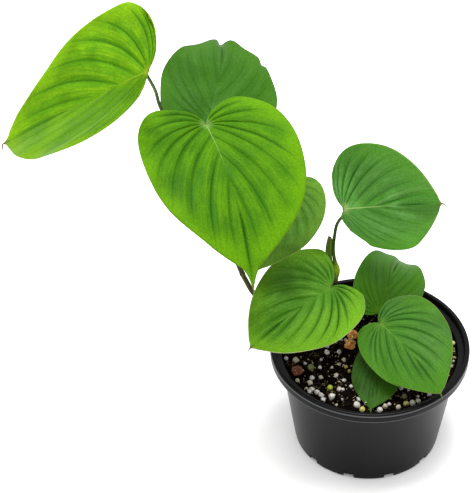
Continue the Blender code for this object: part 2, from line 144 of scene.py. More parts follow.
GROOVE_DEPTH = 0.00018
GROOVE_WIDTH = 0.00055
MIDRIB_GROOVE = 0.00035
MIDRIB_WIDTH = 0.0009
SETTLED_GAP = 0.003
SETTLED_MARGIN = 0.012
WAVER = 0.0005
WAVER_SIZE = 0.016
WAVER_ONSET = 0.01
BLADE_BODY = 0.00050
BLADE_EDGE = 0.00030
EDGE_TAPER = 0.004
RIB_HEIGHT = 0.0022
RIB_WIDTH = 0.0013
VEIN_HEIGHT = 0.00030

# Stalks and stems
STALK_RADIUS = 0.0012
STALK_FOOT_RADIUS = 0.0017
STALK_LIFT = 0.0040
STALK_TURN = 1.0
STALK_TAPER = 0.00025
ROOT_INWARD = 0.7
ROOT_DOWNWARD = 2.0
STALK_SIDES = 18
STEM_RADIUS = 0.0021
STEM_TAPER = 0.10
STEM_BURIED = 0.006
STEM_END = 0.002
STEM_SIDES = 24
STEM_RING = 0.20
STEM_RING_LENGTH = 0.0011
SCAR_LENGTH = 0.0007
TUBE_STEPS_PER_SPAN = 3
FINE_STEPS_PER_SPAN = 12

# Swellings of a stalk: how much thicker, how far from that end and over what length
Swelling = namedtuple("Swelling", "height place spread")
CLASP = Swelling(0.0011, 0.0, 0.0055)
YOUNG_FOOT = Swelling(0.0015, 0.0125, 0.0065)
BELOW_BLADE = Swelling(0.00022, 0.004, 0.0045)

# The numbers that a blade's mesh carries at each point, for its pattern: vein_place counts the
# veins from the midrib, vein_gap is the width between two veins, margin, midrib and base are the
# distances from those, tipward and along are shares of the way to the tip and to the margin,
# clarity is how plain the veins and the painted shade of their valleys are there, and the last is
# how far the point lies toward the side that takes painted light, away from the painted shade
BLADE_NUMBERS = (
    "vein_place", "vein_gap", "margin", "tipward", "midrib", "along", "base", "clarity", "painted_light",
)

# Each blade: base is where its stalk meets it, heading and rise lead to its tip, and roll turns
# it about that way. The first of a pair is for its left half and the second for its right:
# width, the fold at which the half rises from the midrib, the curl that it turns on from there,
# the droop of its lobe, widest for how far along it is broadest, lobe for how far it stands
# back behind the base, reach for where the lobe's top lies across the width, and bow for how
# strongly its veins bend. arch and twist bend and turn the blade from base to tip, drip is the
# share of the length in the drawn-out tip, and ripple is the height of the margin's waves.
Leaf = namedtuple(
    "Leaf",
    "letter base heading rise roll length width fold curl arch droop twist"
    " widest lobe reach bow drip ripple",
)
LEAVES = (
    Leaf(
        letter="a", base=(-0.1624, -0.0120, 0.3638), heading=223, rise=5.5, roll=69,
        length=0.1370, width=(0.0556, 0.0557), fold=(-32, 9), curl=(-12, -11), arch=-8,
        droop=(43, 8), twist=7.5, widest=(0.0536, 0.0163), lobe=(0.0042, 0.0063),
        reach=(0.17, 0.67), bow=(32, 44), drip=0.05, ripple=0.0010,
    ),
    Leaf(
        letter="b", base=(-0.1219, 0.0400, 0.2766), heading=74, rise=23, roll=-26,
        length=0.0960, width=(0.0415, 0.0465), fold=(1, 11), curl=(-14, -17), arch=47,
        droop=(12, 12), twist=8, widest=(0.0270, 0.0265), lobe=(0.0190, 0.0195),
        reach=(0.48, 0.50), bow=(43, 41), drip=0.05, ripple=0.0015,
    ),
    Leaf(
        letter="c", base=(-0.1225, -0.0250, 0.3271), heading=-67, rise=-8, roll=12,
        length=0.1285, width=(0.0600, 0.0575), fold=(8, -2), curl=(-1, -8), arch=45,
        droop=(11, 17), twist=6, widest=(0.0305, 0.0325), lobe=(0.0205, 0.0230),
        reach=(0.51, 0.49), bow=(30, 44), drip=0.13, ripple=0.0010,
    ),
    Leaf(
        letter="d", base=(-0.0645, 0.0120, 0.2365), heading=-126, rise=-57, roll=27,
        length=0.0755, width=(0.0360, 0.0370), fold=(-14, -8), curl=(-15, -13), arch=33,
        droop=(7, 8), twist=6, widest=(0.0205, 0.0220), lobe=(0.0125, 0.0160),
        reach=(0.47, 0.50), bow=(45, 43), drip=0.06, ripple=0.0008,
    ),
    Leaf(
        letter="e", base=(-0.0212, 0.0380, 0.1936), heading=-28, rise=27, roll=-49,
        length=0.0805, width=(0.0480, 0.0480), fold=(9, -42), curl=(-8, -25), arch=20,
        droop=(5, 21), twist=7, widest=(0.0190, 0.0245), lobe=(0.0075, 0.0120),
        reach=(0.61, 0.49), bow=(34, 31), drip=0.04, ripple=0.0008,
    ),
    Leaf(
        letter="f", base=(0.0073, 0.0220, 0.1033), heading=72, rise=20, roll=-5,
        length=0.0785, width=(0.0275, 0.0290), fold=(28, 15), curl=(-6, -6), arch=59,
        droop=(3, 8), twist=-6, widest=(0.0210, 0.0210), lobe=(0.0060, 0.0130),
        reach=(0.51, 0.51), bow=(37, 41), drip=0.05, ripple=0.0010,
    ),
    Leaf(
        letter="g", base=(-0.0304, 0.0110, 0.1394), heading=-135, rise=4, roll=21,
        length=0.0815, width=(0.0370, 0.0405), fold=(1, 9), curl=(-12, -13), arch=34,
        droop=(12, 8), twist=-5, widest=(0.0205, 0.0165), lobe=(0.0200, 0.0160),
        reach=(0.48, 0.61), bow=(42, 37), drip=0.04, ripple=0.0010,
    ),
    Leaf(
        letter="h", base=(0.0062, -0.0100, 0.1221), heading=-56, rise=7, roll=-9,
        length=0.0760, width=(0.0390, 0.0295), fold=(10, -21), curl=(-8, -11), arch=44,
        droop=(8, 6), twist=-5, widest=(0.0195, 0.0240), lobe=(0.0140, 0.0105),
        reach=(0.49, 0.44), bow=(40, 34), drip=0.04, ripple=0.0008,
    ),
    Leaf(
        letter="i", base=(0.0054, -0.0140, 0.0979), heading=-98, rise=-10, roll=-3,
        length=0.0535, width=(0.0215, 0.0180), fold=(-8, -8), curl=(-4, -4), arch=9,
        droop=(4, 4), twist=2, widest=(0.0175, 0.0195), lobe=(0.0095, 0.0070),
        reach=(0.49, 0.43), bow=(43, 44), drip=0.06, ripple=0.0005,
    ),
)

# Tips: the length of the dried thread at a blade's tip and how sharply it hooks down
TIP_THREADS = {
    "a": (0.0080, 9.0), "c": (0.0030, 0.5), "d": (0.0025, 0.5), "e": (0.0055, 0.8),
    "f": (0.0025, 0.5), "g": (0.0030, 0.6), "h": (0.0040, 0.5), "i": (0.0030, 0.5),
}
THREAD_ROOT_SHARES = (0.95, 0.975, 1.0)
THREAD_RADIUS = 0.00012
THREAD_SWELL = 0.00045
THREAD_SIDES = 8
THREAD_SPANS = 3
THREAD_STEPS_PER_SPAN = 5

# The blades whose tips have dried brown to the end, and how far the others' have
DRIED_TIPS = ("a", "e", "g")
FRESH_DRYNESS = 0.25

# Dents: places where a margin or the tip turns down out of the blade's even form, or up where
# the depth is negative
Dent = namedtuple("Dent", "letter half spread width reach depth")
DENTS = (
    Dent("b", 0, 0.00, 0.060, 3.5, 0.0042),
    Dent("b", 1, 0.00, 0.060, 3.5, 0.0042),
    Dent("b", 1, 0.13, 0.07, 5.0, -0.0034),
    Dent("b", 1, 0.345, 0.022, 7.0, 0.0026),
)

# How high the pleats of each blade's left and right half stand, and how plainly the colour of
# their veins and the painted shade of their valleys show
PLEAT_FULLNESS = {
    "a": (0.12, 0.75), "b": (0.18, 0.18), "c": (0.9, 1.1), "d": (0.5, 0.5), "e": (1.5, 0.55),
    "f": (0.25, 0.25), "g": (1.0, 0.7), "h": (0.8, 0.6), "i": (0.2, 0.2),
}
VEIN_CLARITY = {
    "a": (0.05, 1.0), "b": (0.20, 0.20), "c": (0.6, 0.8), "d": (0.4, 0.4), "e": (1.0, 0.6),
    "f": (0.3, 0.3), "g": (1.0, 0.7), "h": (1.0, 0.7), "i": (0.2, 0.2),
}
CLARITY_VARIATION = 0.9
CLEAR_MIDRIB = 0.006

# The side of each blade that takes painted light, with painted shade on the side opposite, as an
# angle from the picture's right, and how strongly the light and shade are painted
PAINTED_LIGHT_SIDES = {
    "a": (-45, 0.9), "b": (20, 0.5), "c": (-10, 0.7), "d": (60, 1.0), "e": (241, 2.1),
    "f": (-30, 0.8), "g": (-57, 2.2), "h": (230, 0.5), "i": (0, 1.0),
}

# Finish of each blade: the record's slot, then its colours in the order of LOOK_SOCKETS. Ground
# lies in the pleats' flanks, Crest on their tops, where it is partly painted highlight, Vein in
# the valleys, both as the veins' own colour and as painted shade, the edge colour in a wide band
# inside the margin and as painted light on the blade's lit side, Margin on the margin itself and
# Rib on the midrib, whose paleness ends at rib_reach of the length. relief is how deep the veins
# are sunk and sheen how much the surface reflects.
LOOK_SOCKETS = ("Ground", "Crest", "Vein", "Edge And Painted Light", "Margin", "Rib")
Look = namedtuple("Look", "slot colours rib_reach relief sheen")
LOOKS = {
    "a": Look("leaf_light", "#518710 #709d11 #3a6f10 #6f9d10 #778316 #a3b82d", 0.30, 1.0, 0.02),
    "b": Look("leaf_dark", "#265006 #315b19 #1a4005 #315b0b #3e4e21 #366229", 0.40, 1.0, 0.06),
    "c": Look("leaf_light", "#315d0c #446f0a #1d480a #4f7c08 #61791b #779551", 0.34, 1.0, 0.02),
    "d": Look("leaf_green", "#3e6818 #4e782a #29550e #578024 #9ea056 #809340", 0.40, 1.0, 0.06),
    "e": Look("leaf_green", "#458026 #5e8f4a #2d6317 #55922b #808d46 #a3b86f", 0.60, 1.0, 0.12),
    "f": Look("leaf_dark", "#275403 #355e08 #1b4303 #305e04 #485e0b #486b0c", 0.50, 0.7, 0.06),
    "g": Look("leaf_green", "#37680f #527d2a #244e09 #5b8a16 #aeac80 #4f7a27", 0.40, 1.0, 0.04),
    "h": Look("leaf_green", "#2a590c #3b6718 #194406 #39680f #6e813a #56792b", 0.50, 1.0, 0.11),
    "i": Look("leaf_dark", "#1e4105 #2b4c0c #163603 #284d06 #394b10 #3d5711", 0.50, 0.7, 0.08),
}

# Painted shade: what the colour of a blade's side away from its painted light is multiplied by
PAINTED_BLADE_SHADE = (0.40, 0.44, 0.30, 1.0)

# Stems: places along each, the first of them at soil level
STEM_ROUTES = {
    "stem_tall": (
        (-0.0480, 0.026, SOIL_LEVEL), (-0.0482, 0.026, 0.0880), (-0.0540, 0.026, 0.0975),
        (-0.0700, 0.025, 0.1060), (-0.0860, 0.024, 0.1180), (-0.0950, 0.023, 0.1370),
        (-0.1001, 0.022, 0.1527), (-0.1054, 0.020, 0.1707), (-0.1105, 0.017, 0.1932),
        (-0.1155, 0.012, 0.2201),
    ),
    "stem_short": (
        (-0.0300, 0.038, SOIL_LEVEL), (-0.0300, 0.038, 0.0890), (-0.0288, 0.040, 0.1050),
        (-0.0258, 0.043, 0.1195),
    ),
    "stem_low": (
        (0.0040, 0.008, SOIL_LEVEL), (0.0040, 0.008, 0.0880), (0.0040, 0.008, 0.0930),
    ),
}

# Where the tall stem has a ring whose leaf is gone, as shares of its length
BARE_NODES = (0.16, 0.33, 0.5)

# Stalks: the stem that each leaves, its place along that stem from 0 to 1 with the heading
# of the side it leaves by, and the places that it passes on its way to its blade
Stalk = namedtuple("Stalk", "stem along side passes")
STALKS = {
    "a": Stalk("stem_tall", 1.00, 180, (
        (-0.1348, 0.013, 0.2622), (-0.1475, 0.017, 0.2870), (-0.1557, 0.018, 0.3080),
        (-0.1586, 0.012, 0.3272),
    )),
    "b": Stalk("stem_tall", 0.80, 90, ((-0.1150, 0.036, 0.2050), (-0.1220, 0.043, 0.2400))),
    "c": Stalk("stem_tall", 0.90, -70, ((-0.1120, -0.004, 0.2350), (-0.1150, -0.014, 0.2800))),
    "d": Stalk("stem_tall", 0.70, 0, ((-0.0850, 0.022, 0.1850), (-0.0700, 0.022, 0.2150))),
    "e": Stalk("stem_short", 1.00, 90, (
        (-0.0265, 0.043, 0.1357), (-0.0279, 0.043, 0.1480), (-0.0274, 0.043, 0.1621),
        (-0.0255, 0.043, 0.1750),
    )),
    "f": Stalk("stem_low", 0.90, 60, ((0.0080, 0.016, 0.0950),)),
    "g": Stalk("stem_short", 0.45, -90, ((-0.0300, 0.028, 0.1080), (-0.0290, 0.019, 0.1260))),
    "h": Stalk("stem_low", 1.00, -60, ((0.0060, 0.002, 0.1030),)),
    "i": Stalk("stem_low", 0.60, -90, ((0.0040, -0.002, 0.0900),)),
}

# The stalk whose foot is still swollen and yellow
YOUNG_STALKS = ("e",)

# Sheath: the bud sheath beside the short shoot's youngest stalk, still green and drying brown
# at its tip. It is rolled round by SHEATH_WRAP degrees each way, away from its slit.
SHEATH_ROUTE = (
    (-0.0285, 0.0425, 0.1230), (-0.0306, 0.0422, 0.1350), (-0.0316, 0.0420, 0.1480),
    (-0.0307, 0.0420, 0.1622),
)
SHEATH_RADIUS = 0.0025
SHEATH_WALL = 0.00025
SHEATH_COLUMNS = 28
SHEATH_WRAP = 158
SHEATH_FACING = 200
SHEATH_BULGE = 0.12
SHEATH_TAPER = 0.25
SHEATH_NERVE = 0.05
SHEATH_NERVES = 9
SLIT_DROP = 0.04

# Grains on the soil that the photograph shows: pixel and size in pixels, and a bead's colour.
# None is put farther out than SEEN_REACH of the soil's radius.
SEEN_REACH = 0.97
SEEN_PERLITE = (
    (296, 361, 6), (286, 359, 4), (305, 364, 3), (320, 368, 4), (293, 383, 5), (312, 379, 5),
    (321, 378, 5), (310, 384, 6), (312, 390, 5), (303, 392, 4), (307, 394, 5), (317, 393, 6),
    (321, 396, 6), (322, 402, 5), (332, 398, 7), (339, 390, 5), (343, 390, 4), (336, 376, 5),
    (344, 381, 4), (332, 368, 3), (339, 365, 4), (344, 361, 5), (339, 353, 5), (327, 353, 6),
    (327, 347, 4), (321, 360, 3), (351, 387, 4), (342, 400, 3), (335, 408, 3), (357, 406, 7),
    (359, 400, 5), (366, 404, 4), (380, 412, 6), (385, 407, 6), (389, 405, 4), (399, 410, 6),
    (414, 406, 6), (420, 404, 5), (433, 398, 5), (401, 389, 4), (409, 390, 4), (418, 397, 3),
    (463, 363, 3),
)
SEEN_PRILLS = (
    (311, 369, 7, "#4c521a"), (330, 389, 6, "#7f8c16"), (406, 405, 6, "#83803a"),
    (404, 398, 6, "#30300f"), (362, 412, 6, "#a39c52"), (346, 368, 4, "#7c7428"),
    (349, 372, 4, "#6f6a28"), (450, 326, 5, "#a79d3e"), (459, 344, 5, "#a8a06a"),
)
SEEN_BITS = (
    (461, 359, 5), (463, 349, 4), (308, 360, 4), (339, 382, 4), (344, 366, 4), (390, 399, 4),
    (301, 358, 4), (466, 352, 3), (427, 401, 3), (368, 398, 4),
)

# Loose grains, which a seeded rule strews. White grains and beads are left out where the soil
# is seen, which is in front of SEEN_SOIL_BACK and left of SEEN_SOIL_RIGHT.
LOOSE_PERLITE = 110
LOOSE_PRILLS = 9
LOOSE_BITS = 700
CRUMBS = 1500
FIBRES = 130
SEEN_SOIL_BACK = 0.004
SEEN_SOIL_RIGHT = 0.060
PERLITE_SIZES = (0.0018, 0.0046)
PRILL_RADII = (0.0016, 0.0024)
PRILL_RISE = 0.6
LOOSE_PRILL_COATS = ("#8d8a2c", "#b3a93c", "#5c5c1c")
BIT_LENGTHS = (0.0003, 0.0010)
BIT_RISE = 0.0006
CRUMB_SIZE = 0.0005
CRUMB_GROWTH = 0.0013
FIBRE_LENGTHS = (0.004, 0.011)
FIBRE_RADII = (0.00010, 0.00022)
FIBRE_STEPS = 4
FIBRE_PROFILE = (1.0, 1.2, 1.0, 0.8, 0.4)
FIBRE_RISE = 0.0007
FIBRE_ARCH = 0.0011

# Bark: flattened bits that lie on the soil
Chip = namedtuple("Chip", "place radius turn finish")
CHIPS = (
    Chip((-0.0556, -0.0241, 0.0860), 0.0040, 20, "bark_red"),
    Chip((-0.0130, 0.0130, 0.0880), 0.0042, 70, "bark_orange"),
    Chip((-0.0149, 0.0020, 0.0883), 0.0040, -30, "bark_orange"),
)
CHIP_FLATNESS = 0.45
CHIP_TILT = 6
CHIP_LUMP = 0.30
CHIP_CREASE = 0.24
CHIP_LAYER = 0.05
CHIP_LAYERS = 14

# Light: the brightness of the surroundings, and the lamp above
WORLD_STRENGTH = 1.42
KEY_PLACE = (-0.08, 0.10, 2.1)
KEY_TARGET = (-0.05, 0, 0.15)
KEY_SIZE = 1.0
KEY_POWER = 46.0
FLOOR_SIZE = 6.0
FLOOR_DARK = (0.93, 0.93, 0.93, 1.0)
FLOOR_LIGHT = (0.95, 0.95, 0.95, 1.0)


def linear(code):
    """A colour of the screen, such as "#4a8c2a", as the light that a shader takes."""
    parts = [int(code[at : at + 2], 16) / 255 for at in (1, 3, 5)]
    light = [part / 12.92 if part < 0.04045 else ((part + 0.055) / 1.055) ** 2.4 for part in parts]
    return (*light, 1.0)


# Shader helpers


def add_node(tree, kind, values=None, **settings):
    """A node whose settings and inputs are given; a socket given as a value is linked."""
    made = tree.nodes.new(kind)
    for name, value in settings.items():
        setattr(made, name, value)
    for key, value in (values or {}).items():
        if isinstance(value, bpy.types.NodeSocket):
            tree.links.new(value, made.inputs[key])
        else:
            made.inputs[key].default_value = value
    return made


def maths(tree, operation, first, second=0.0, clamp=False):
    """One sum on two values, held between 0 and 1 where clamp is set."""
    values = {0: first, 1: second}
    made = add_node(tree, "ShaderNodeMath", values, operation=operation, use_clamp=clamp)
    return made.outputs[0]


def product(tree, first, *others):
    """The values multiplied together."""
    for other in others:
        first = maths(tree, "MULTIPLY", first, other)
    return first


def total(tree, first, *others):
    """The values added up."""
    for other in others:
        first = maths(tree, "ADD", first, other)
    return first


def blend(tree, share, under, over, kind="MIX"):
    """The colour over laid on the colour under by a share."""
    values = {0: share, 6: under, 7: over}
    made = add_node(tree, "ShaderNodeMix", values, data_type="RGBA", blend_type=kind)
    return made.outputs[2]


def ramp(tree, value, start, end, low=0.0, high=1.0):
    """A value that runs smoothly from low at start to high at end."""
    values = {"Value": value, "To Min": low, "To Max": high}
    values.update({"From Min": start, "From Max": end})
    made = add_node(tree, "ShaderNodeMapRange", values, interpolation_type="SMOOTHSTEP")
    return made.outputs[0]


def tint(tree, colour, code, value, start, end, low=0.0, high=1.0):
    """The colour turned toward another by a share that runs from low to high."""
    return blend(tree, ramp(tree, value, start, end, low, high), colour, linear(code))


def own(tree, name):
    """A number that the piece's own mesh carries at each point."""
    return add_node(tree, "ShaderNodeAttribute", attribute_name=name).outputs["Fac"]


def places(tree, stretch=(1, 1, 1)):
    """Object coordinates, stretched."""
    here = add_node(tree, "ShaderNodeTexCoord").outputs["Object"]
    return add_node(tree, "ShaderNodeMapping", {"Vector": here, "Scale": stretch}).outputs[0]


def cloud(tree, where, scale, detail=2.0, roughness=0.5):
    """Soft noise between 0 and 1."""
    values = {"Vector": where, "Scale": scale, "Detail": detail, "Roughness": roughness}
    return add_node(tree, "ShaderNodeTexNoise", values).outputs["Fac"]


def new_group(name, inputs, outputs):
    """A shader node group with named sockets, and its input and output nodes' sockets."""
    group = bpy.data.node_groups.new(name, "ShaderNodeTree")
    for label, value in inputs:
        kind = "NodeSocketFloat" if isinstance(value, float) else "NodeSocketColor"
        socket = group.interface.new_socket(name=label, in_out="INPUT", socket_type=kind)
        socket.default_value = value
    for label, kind in outputs:
        group.interface.new_socket(name=label, in_out="OUTPUT", socket_type=kind)
    entry = group.nodes.new("NodeGroupInput")
    return group, entry.outputs, group.nodes.new("NodeGroupOutput").inputs


def feed(tree, sockets, values):
    """Links each value to the socket of its name."""
    for name, value in values.items():
        tree.links.new(value, sockets[name])


def new_material(name, **constants):
    """A material, its tree and its shader, whose constant values are set on its own sockets."""
    made = bpy.data.materials.new(name)
    made.use_nodes = True
    shader = made.node_tree.nodes["Principled BSDF"]
    for socket, value in constants.items():
        shader.inputs[socket.replace("_", " ")].default_value = value
    return made, made.node_tree, shader.inputs


def blade_pattern_group():
    """Colour, gloss and relief of a blade, from the numbers that its mesh carries."""
    inputs = [(label, WHITE) for label in LOOK_SOCKETS]
    inputs += [("Rib Reach", 0.5), ("Relief", 1.0), ("Variation", 0.0), ("Gloss", 0.45)]
    outputs = (
        ("Colour", "NodeSocketColor"), ("Roughness", "NodeSocketFloat"),
        ("Height", "NodeSocketFloat"),
    )
    group, given, result = new_group("blade_pattern", inputs, outputs)
    vein_place, vein_gap, margin, tipward, midrib, along, base, clarity, painted_light = (
        own(group, name) for name in BLADE_NUMBERS
    )
    here = places(group)

    # Fine lines on the veins and on the finer veins between them, which end where there is no
    # room for them
    ridge = maths(group, "PINGPONG", vein_place, 0.5)
    vein = product(group, ridge, vein_gap)
    open_ground = ramp(group, vein_gap, 0.0006, 0.0035)
    inside = ramp(group, margin, 0.003, 0.026)
    line = product(group, ramp(group, vein, 0.00010, 0.0007, 1.0, 0.0), open_ground, inside)
    finer = maths(group, "PINGPONG", product(group, vein_place, FINE_VEINS), 0.5)
    fine_gap = product(group, vein_gap, 1 / FINE_VEINS)
    fine_line = ramp(group, product(group, finer, fine_gap), 0.00008, 0.00045, 1.0, 0.0)
    fine_line = product(group, fine_line, ramp(group, fine_gap, 0.0005, 0.0016))

    # Streaks that run along the veins, and clouds of three sizes
    lane_values = {0: product(group, vein_place, 2.2), 1: along, 2: given["Variation"]}
    lane_place = add_node(group, "ShaderNodeCombineXYZ", lane_values).outputs[0]
    streak = cloud(group, lane_place, 2.4, detail=3.0)
    hair = cloud(group, lane_place, 9.0, detail=2.0, roughness=0.6)
    patch = cloud(group, here, 42.0, detail=3.0)
    speckle = cloud(group, here, 850.0, detail=2.0, roughness=0.6)

    # Painted highlight makes the pleats' tops lighter than their flanks; streaks and clouds of the
    # blade's own tone lie over it
    crest = product(group, maths(group, "POWER", product(group, ridge, 2.0), 1.6), 0.45)
    lanes = ramp(group, streak, 0.35, 0.68, -0.25, 0.55)
    lanes = product(group, lanes, ramp(group, clarity, 0.0, 1.0, 0.3, 1.0))
    crest = total(group, crest, lanes, ramp(group, hair, 0.35, 0.65, -0.22, 0.22))
    crest = maths(group, "ADD", crest, ramp(group, patch, 0.3, 0.7, -0.15, 0.25), clamp=True)
    colour = blend(group, crest, given["Ground"], given["Crest"])

    # Painted light brightens the blade toward its lit side and painted shade darkens the other
    # side;
    # a band inside the margin is fresher in its own colour
    painted_lighting = total(group, painted_light, ramp(group, patch, 0.3, 0.7, -0.2, 0.2))
    colour = blend(group, ramp(group, painted_lighting, 0.05, 0.75, 0.0, 0.6), colour, given["Edge And Painted Light"])
    fringe = ramp(group, margin, 0.003, 0.028, 0.85, 0.0)
    fringe = product(group, fringe, ramp(group, patch, 0.25, 0.6, 0.45, 1.0))
    colour = blend(group, fringe, colour, given["Edge And Painted Light"])
    painted_shade = ramp(group, painted_lighting, 0.1, -0.9, 0.0, 0.9)
    colour = blend(group, painted_shade, colour, PAINTED_BLADE_SHADE, "MULTIPLY")

    # Painted shade darkens the valleys, where the veins' own dark lines lie, both plainer away
    # from the base
    valley = ramp(group, vein, 0.0, 0.0022, 0.50, 0.0)
    valley = product(group, valley, product(group, inside, open_ground))
    dark = total(group, valley, product(group, line, 0.25), product(group, fine_line, 0.16))
    dark = product(group, dark, ramp(group, along, 0.0, 0.30, 0.2, 1.0))
    dark = maths(group, "MULTIPLY", dark, clarity, clamp=True)
    colour = blend(group, dark, colour, given["Vein"])
    grain = ramp(group, speckle, 0.3, 0.7, 0.84, 1.13)
    shade = add_node(group, "ShaderNodeCombineColor", {0: grain, 1: grain, 2: grain}).outputs[0]
    colour = blend(group, 1.0, colour, shade, "MULTIPLY")

    # The midrib is pale and fades toward the tip, and the base round the stalk is as pale
    rib = product(group, ramp(group, midrib, 0.0001, 0.0006, 1.0, 0.0), 0.8)
    fading = add_node(group, "ShaderNodeMapRange", {
        "Value": tipward, "From Min": 0.02, "From Max": given["Rib Reach"],
        "To Min": 1.0, "To Max": 0.0,
    }).outputs[0]
    blush = ramp(group, base, 0.0005, 0.007, 0.55, 0.0)
    rib = maths(group, "MAXIMUM", product(group, rib, fading), blush)
    colour = blend(group, rib, colour, given["Rib"])
    hem = ramp(group, margin, 0.00025, 0.0008, 0.8, 0.0)
    colour = blend(group, hem, colour, given["Margin"])
    colour = tint(group, colour, "#6b5a3a", tipward, 0.965, 0.99)

    # The lines are sunk, and streaks and speckles roughen the rest
    sunk = total(group, product(group, line, -0.00010), product(group, fine_line, -0.00006))
    streaked = product(group, streak, 0.0006, clarity)
    relief = total(
        group, product(group, sunk, given["Relief"]), streaked, product(group, speckle, 0.00003)
    )
    gloss = total(
        group, given["Gloss"], ramp(group, patch, 0.3, 0.7, -0.05, 0.06),
        product(group, line, 0.10),
    )
    feed(group, result, {"Colour": colour, "Roughness": gloss, "Height": relief})
    return group


def mottle_group():
    """Two colours mixed by broad clouds and darkened by fine grain, with a height to match."""
    inputs = (
        ("Dark", WHITE), ("Light", WHITE), ("Patch Scale", 60.0), ("Grain Scale", 900.0),
        ("Stretch", 1.0), ("Grain", 0.3),
    )
    outputs = (
        ("Colour", "NodeSocketColor"), ("Patch", "NodeSocketFloat"), ("Height", "NodeSocketFloat"),
    )
    group, given, result = new_group("mottle", inputs, outputs)
    stretch = {0: 1.0, 1: 1.0, 2: given["Stretch"]}
    values = {0: places(group), 1: add_node(group, "ShaderNodeCombineXYZ", stretch).outputs[0]}
    where = add_node(group, "ShaderNodeVectorMath", values, operation="MULTIPLY").outputs[0]
    patch = cloud(group, where, given["Patch Scale"], detail=4.0)
    grain = cloud(group, where, given["Grain Scale"], detail=3.0, roughness=0.6)
    colour = blend(group, ramp(group, patch, 0.32, 0.66), given["Dark"], given["Light"])
    deep = product(group, ramp(group, grain, 0.55, 0.3), given["Grain"])
    colour = blend(group, deep, colour, BLACK)
    feed(group, result, {"Colour": colour, "Patch": patch, "Height": grain})
    return group


def use_group(tree, group, values):
    """A group's outputs for the given inputs."""
    return add_node(tree, "ShaderNodeGroup", values, node_tree=group).outputs


BLADE_PATTERN = blade_pattern_group()
MOTTLE = mottle_group()


def mottled_material(name, dark, light, patches, grains, stretch, grain, **constants):
    """A material with the mottle for its ground: itself, its tree, its shader, the mottle."""
    made, tree, shader = new_material(name, **constants)
    mottle = use_group(tree, MOTTLE, {
        "Dark": linear(dark), "Light": linear(light), "Patch Scale": patches,
        "Grain Scale": grains, "Stretch": stretch, "Grain": grain,
    })
    return made, tree, shader, mottle


def coat(tree, shader, colour, height, strength, depth, **others):
    """Gives the shader its colour and its relief, and any other value by its socket's name."""
    values = {"Height": height, "Strength": strength, "Distance": depth}
    normal = add_node(tree, "ShaderNodeBump", values).outputs[0]
    feed(tree, shader, {"Base Color": colour, "Normal": normal, **others})


def blade_material(leaf, underside):
    """A blade's upper side, or its underside with paler veins that stand out."""
    look = LOOKS[leaf.letter]
    name = "leaf_" + leaf.letter + ("_under" if underside else "_top")
    made, tree, shader = new_material(name, Specular_IOR_Level=look.sheen)
    colours = dict(zip(LOOK_SOCKETS, look.colours.split()))
    if underside:
        colours.update(Ground=colours["Crest"], Vein=colours["Rib"], Crest=colours["Edge And Painted Light"])
    values = {socket: linear(code) for socket, code in colours.items()}
    values["Rib Reach"] = 1.0 if underside else look.rib_reach
    values["Relief"] = -look.relief if underside else look.relief
    values["Variation"] = 3.7 * LEAVES.index(leaf)
    values["Gloss"] = 0.58 if underside else 0.47
    pattern = use_group(tree, BLADE_PATTERN, values)
    coat(
        tree, shader, pattern["Colour"], pattern["Height"], strength=0.8, depth=1.0,
        Roughness=pattern["Roughness"],
    )
    return made


def stalk_material():
    """Smooth dark green, browner at its foot and yellower where it swells below the blade."""
    made, tree, shader, mottle = mottled_material(
        "stalk", "#1e3004", "#3c560a", patches=260.0, grains=1500.0, stretch=0.12, grain=0.25,
        Specular_IOR_Level=0.14, Roughness=0.42,
    )
    along = own(tree, "along")
    colour = tint(tree, mottle["Colour"], "#5c7420", along, 0.92, 1.0, 0.0, 0.5)
    colour = tint(tree, colour, "#2c220c", along, 0.0, 0.10, 0.5, 0.0)
    colour = blend(tree, product(tree, own(tree, "young"), 0.9), colour, linear("#8aa024"))
    coat(tree, shader, colour, mottle["Height"], strength=0.25, depth=0.0004)
    return made


def stem_material():
    """Olive, red-brown toward its foot, with pale corky scars at the nodes."""
    made, tree, shader, mottle = mottled_material(
        "stem", "#24240a", "#454314", patches=180.0, grains=1300.0, stretch=0.2, grain=0.4,
        Specular_IOR_Level=0.14, Roughness=0.5,
    )
    colour = tint(tree, mottle["Colour"], "#3a2410", own(tree, "along"), 0.0, 0.6, 0.55, 0.0)
    colour = tint(tree, colour, "#6a6524", own(tree, "scar"), 0.3, 0.9, 0.0, 0.6)
    coat(tree, shader, colour, mottle["Height"], strength=0.5, depth=0.0005)
    return made


def tip_material():
    """Dried to a greyish red-brown, greener where it leaves the blade."""
    made, tree, shader, mottle = mottled_material(
        "tip", "#463a2c", "#6e5a48", patches=600.0, grains=2000.0, stretch=1.0, grain=0.3,
        Specular_IOR_Level=0.15, Roughness=0.7,
    )
    colour = tint(tree, mottle["Colour"], "#3f5a12", own(tree, "along"), 0.15, 0.5, 1.0, 0.0)
    coat(tree, shader, colour, mottle["Height"], strength=0.4, depth=0.0003)
    return made


def sheath_material():
    """Papery and olive green, drying to brown at its tip, with lengthwise nerves."""
    made, tree, shader, mottle = mottled_material(
        "sheath", "#243604", "#425a0c", patches=220.0, grains=1600.0, stretch=0.08, grain=0.35,
        Specular_IOR_Level=0.14, Roughness=0.62,
    )
    colour = tint(tree, mottle["Colour"], "#40361a", own(tree, "along"), 0.8, 1.0, 0.0, 0.4)
    coat(tree, shader, colour, mottle["Height"], strength=0.6, depth=0.0005)
    return made


